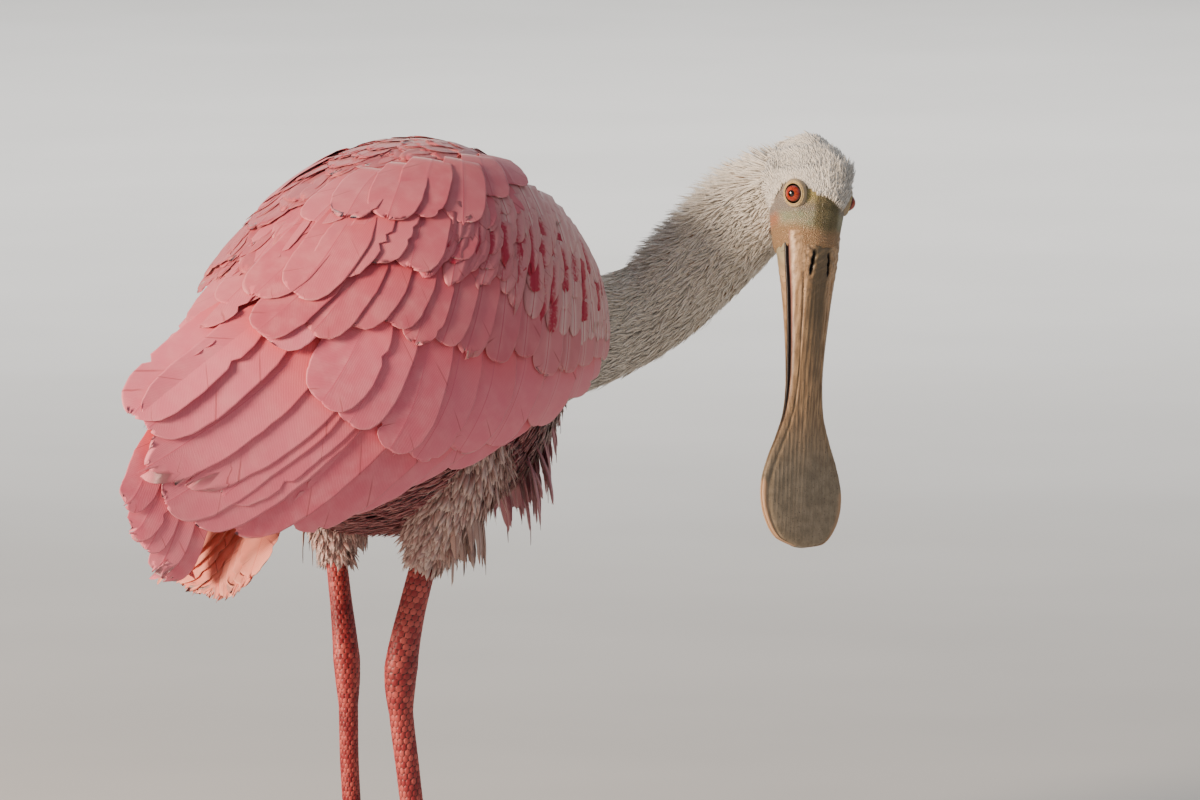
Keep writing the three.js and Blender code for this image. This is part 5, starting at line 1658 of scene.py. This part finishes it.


# Putting the bird together

# Each vane's last colour is painted shade at its covered root, warm and saturated for light glowing through
# the vanes over it.
flight_vane = vane_material("pink_vane", "#D8637A", "#E17388", "#E88795", "#F0ABB2", "#E6555E")
shoulder_vane = vane_material("rose_vane", "#C9586B", "#D46B7B", "#DE8089", "#EBA8AA", "#D24A58")
mantle_vane = vane_material("mantle_vane", "#B04657", "#BE5665", "#CE6E74", "#E08F88", "#D44C4A")
tail_vane = vane_material("salmon_tail_vane", "#EA8070", "#F2917F", "#F6A592", "#F8C4B0", "#E86A58")
breast_vane = vane_material("breast_vane", "#A86878", "#BE848C", "#CE9EA2", "#E0C0BE", "#8A4450")
thigh_vane = vane_material("thigh_vane", "#94706A", "#B8948A", "#D0B4AA", "#E8DAD0", "#7A4E48")
# The first colour of each down is painted shade among its roots.
neck_down = down_material("white_neck_plume", "#DDD3C2", "#EFE7DA", "#F7F2EA", fleck="#8A6A48")
head_down = down_material("white_head_plume", "#CBC0AE", "#EAE3D8", "#F5F1EA")
# The belly down's dark reds are partly the belly's own colour and partly painted shade under the body.
belly_down = down_material("belly_down", "#6E2A32", "#A04C54", "#CC8886", pale="#DCC6BE")
thigh_down = down_material("thigh_down", "#8A5450", "#BE8E88", "#E4C8C0")

settle(bird_skin(), "body_plumage", skin_material(), "torso", "neck_lower", "neck_upper", "head",
       "thigh_right", "thigh_left")
for side, name in ((RIGHT, "right"), (LEFT, "left")):
    settle(wing_plumage(side, "flight"), "wing_plumage", flight_vane, f"wing_{name}")
    settle(wing_plumage(side, "coverts"), "wing_plumage", shoulder_vane)
settle(mantle_plumage(), "wing_plumage", mantle_vane)
settle(tail_plumage(), "tail_plumage", tail_vane, "tail")
for name in NECK_LOTS:
    settle(neck_plumage(name), "neck_plumage", neck_down)
settle(nape_ruff(), "neck_plumage", neck_down)
settle(head_plumage(), "head_plumage", head_down)
settle(trunk_plumage(), "body_plumage", belly_down)
settle(breast_plumage(), "body_plumage", breast_vane)
for name in ("right", "left"):
    settle(thigh_plumage(name), "body_plumage", thigh_down)
    settle(thigh_fringe(name), "body_plumage", thigh_vane)
scutes = scute_material()
for name in ("right", "left"):
    settle(leg_piece(name), "leg_skin", scutes, f"leg_{name}")
    settle(foot_piece(name), "leg_skin", scutes, f"foot_{name}")
horn = bill_material()
settle(bill_piece("upper_bill_sheath", True), "bill", horn, "bill_upper")
settle(bill_piece("lower_bill_sheath", False), "bill", horn, "bill_lower")
wet, lid = eye_material(), lid_material()
for side, name in ((RIGHT, "right"), (LEFT, "left")):
    settle(eye_piece(f"eyeball_{name}", side), "eye", wet, f"eye_{name}")
    settle(lid_piece(f"eyelids_{name}", side), "head_plumage", lid)
claw_horn = claw_material()
for node_name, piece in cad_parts.items():
    if node_name.startswith("claw_"):
        piece.data.materials.clear()
        piece.data.materials.append(claw_horn)

# Floor, light and camera

FLOOR_HALF = 30.0


def floor_piece():
    """A plain pale floor, wide enough to fill every view."""
    mesh = bpy.data.meshes.new("floor")
    h = FLOOR_HALF
    mesh.from_pydata([(-h, -h, 0), (h, -h, 0), (h, h, 0), (-h, h, 0)], [], [(0, 1, 2, 3)])
    made = bpy.data.objects.new("floor", mesh)
    bpy.context.scene.collection.objects.link(made)
    material, tree, shader = finish("pale_studio_floor", Roughness=0.85)
    spot = add(tree, "ShaderNodeNewGeometry")
    grain = add(tree, "ShaderNodeTexNoise", sockets={"Vector": spot, "Scale": 3.0, "Detail": 3.0})
    tree.links.new(tinted(tree, grain, "#C9C7C3", "#CFCDC9", 0.3, 0.7), shader.inputs["Base Color"])
    mesh.materials.append(material)


CAMERA_TURN = math.radians(48)
CAMERA_RISE = math.radians(6.5)
CAMERA_TARGET = (71.9, -79.9, 246.6)
CAMERA_DISTANCE = 8.0
PICTURE_WIDTH = 0.6  # metres across the picture at the bird


def view_axes():
    """Right, up and back directions of the picture."""
    turn, rise = CAMERA_TURN, CAMERA_RISE
    right = Vector((math.cos(turn), -math.sin(turn), 0))
    back = Vector((-math.sin(turn) * math.cos(rise), -math.cos(turn) * math.cos(rise), math.sin(rise)))
    return right, back.cross(right), back


def camera():
    """The picture's camera, from afar with a long lens, and the place that it looks at."""
    data = bpy.data.cameras.new("camera")
    made = bpy.data.objects.new("camera", data)
    bpy.context.scene.collection.objects.link(made)
    _, _, back = view_axes()
    target = Vector(placed([CAMERA_TARGET])[0])
    data.sensor_width = 36
    data.lens = 36 * CAMERA_DISTANCE / PICTURE_WIDTH
    data.clip_end = 200
    made.location = target + back * CAMERA_DISTANCE
    made.rotation_mode = "QUATERNION"
    made.rotation_quaternion = (-back).to_track_quat("-Z", "Y")
    bpy.context.scene.camera = made
    return target


def area_light(name, target, direction, distance, size, watts, colour):
    data = bpy.data.lights.new(name, "AREA")
    data.shape = "DISK"
    data.size = size
    data.energy = watts
    data.color = linear(colour)[:3]
    made = bpy.data.objects.new(name, data)
    made.location = target + direction.normalized() * distance
    made.rotation_mode = "QUATERNION"
    made.rotation_quaternion = direction.normalized().to_track_quat("Z", "Y")
    bpy.context.scene.collection.objects.link(made)


def studio_light(target):
    """A low warm key from the left, as the photograph's sun, with a weak fill, top and backdrop light."""
    right, up, back = view_axes()
    overhead = Vector((0, 0, 1))
    area_light("key", target, -0.86 * right + 0.2 * up + 0.6 * back, distance=2.6, size=0.8, watts=140,
               colour="#FFE6CC")
    area_light("fill", target, 0.9 * right + 0.5 * up + 0.6 * back, distance=3.0, size=2.4, watts=5,
               colour="#E8EEFF")
    area_light("top", target, overhead - 0.3 * back, distance=2.6, size=1.8, watts=4, colour="#FFFFFF")
    area_light("backdrop", target - 3.8 * back, overhead, distance=2.0, size=3.6, watts=120, colour="#FFFFFF")
    world = bpy.data.worlds.new("studio")
    bpy.context.scene.world = world
    world.use_nodes = True
    sky = world.node_tree.nodes["Background"]
    sky.inputs["Color"].default_value = linear("#E6E8EC")
    sky.inputs["Strength"].default_value = 0.35


floor_piece()
studio_light(camera())
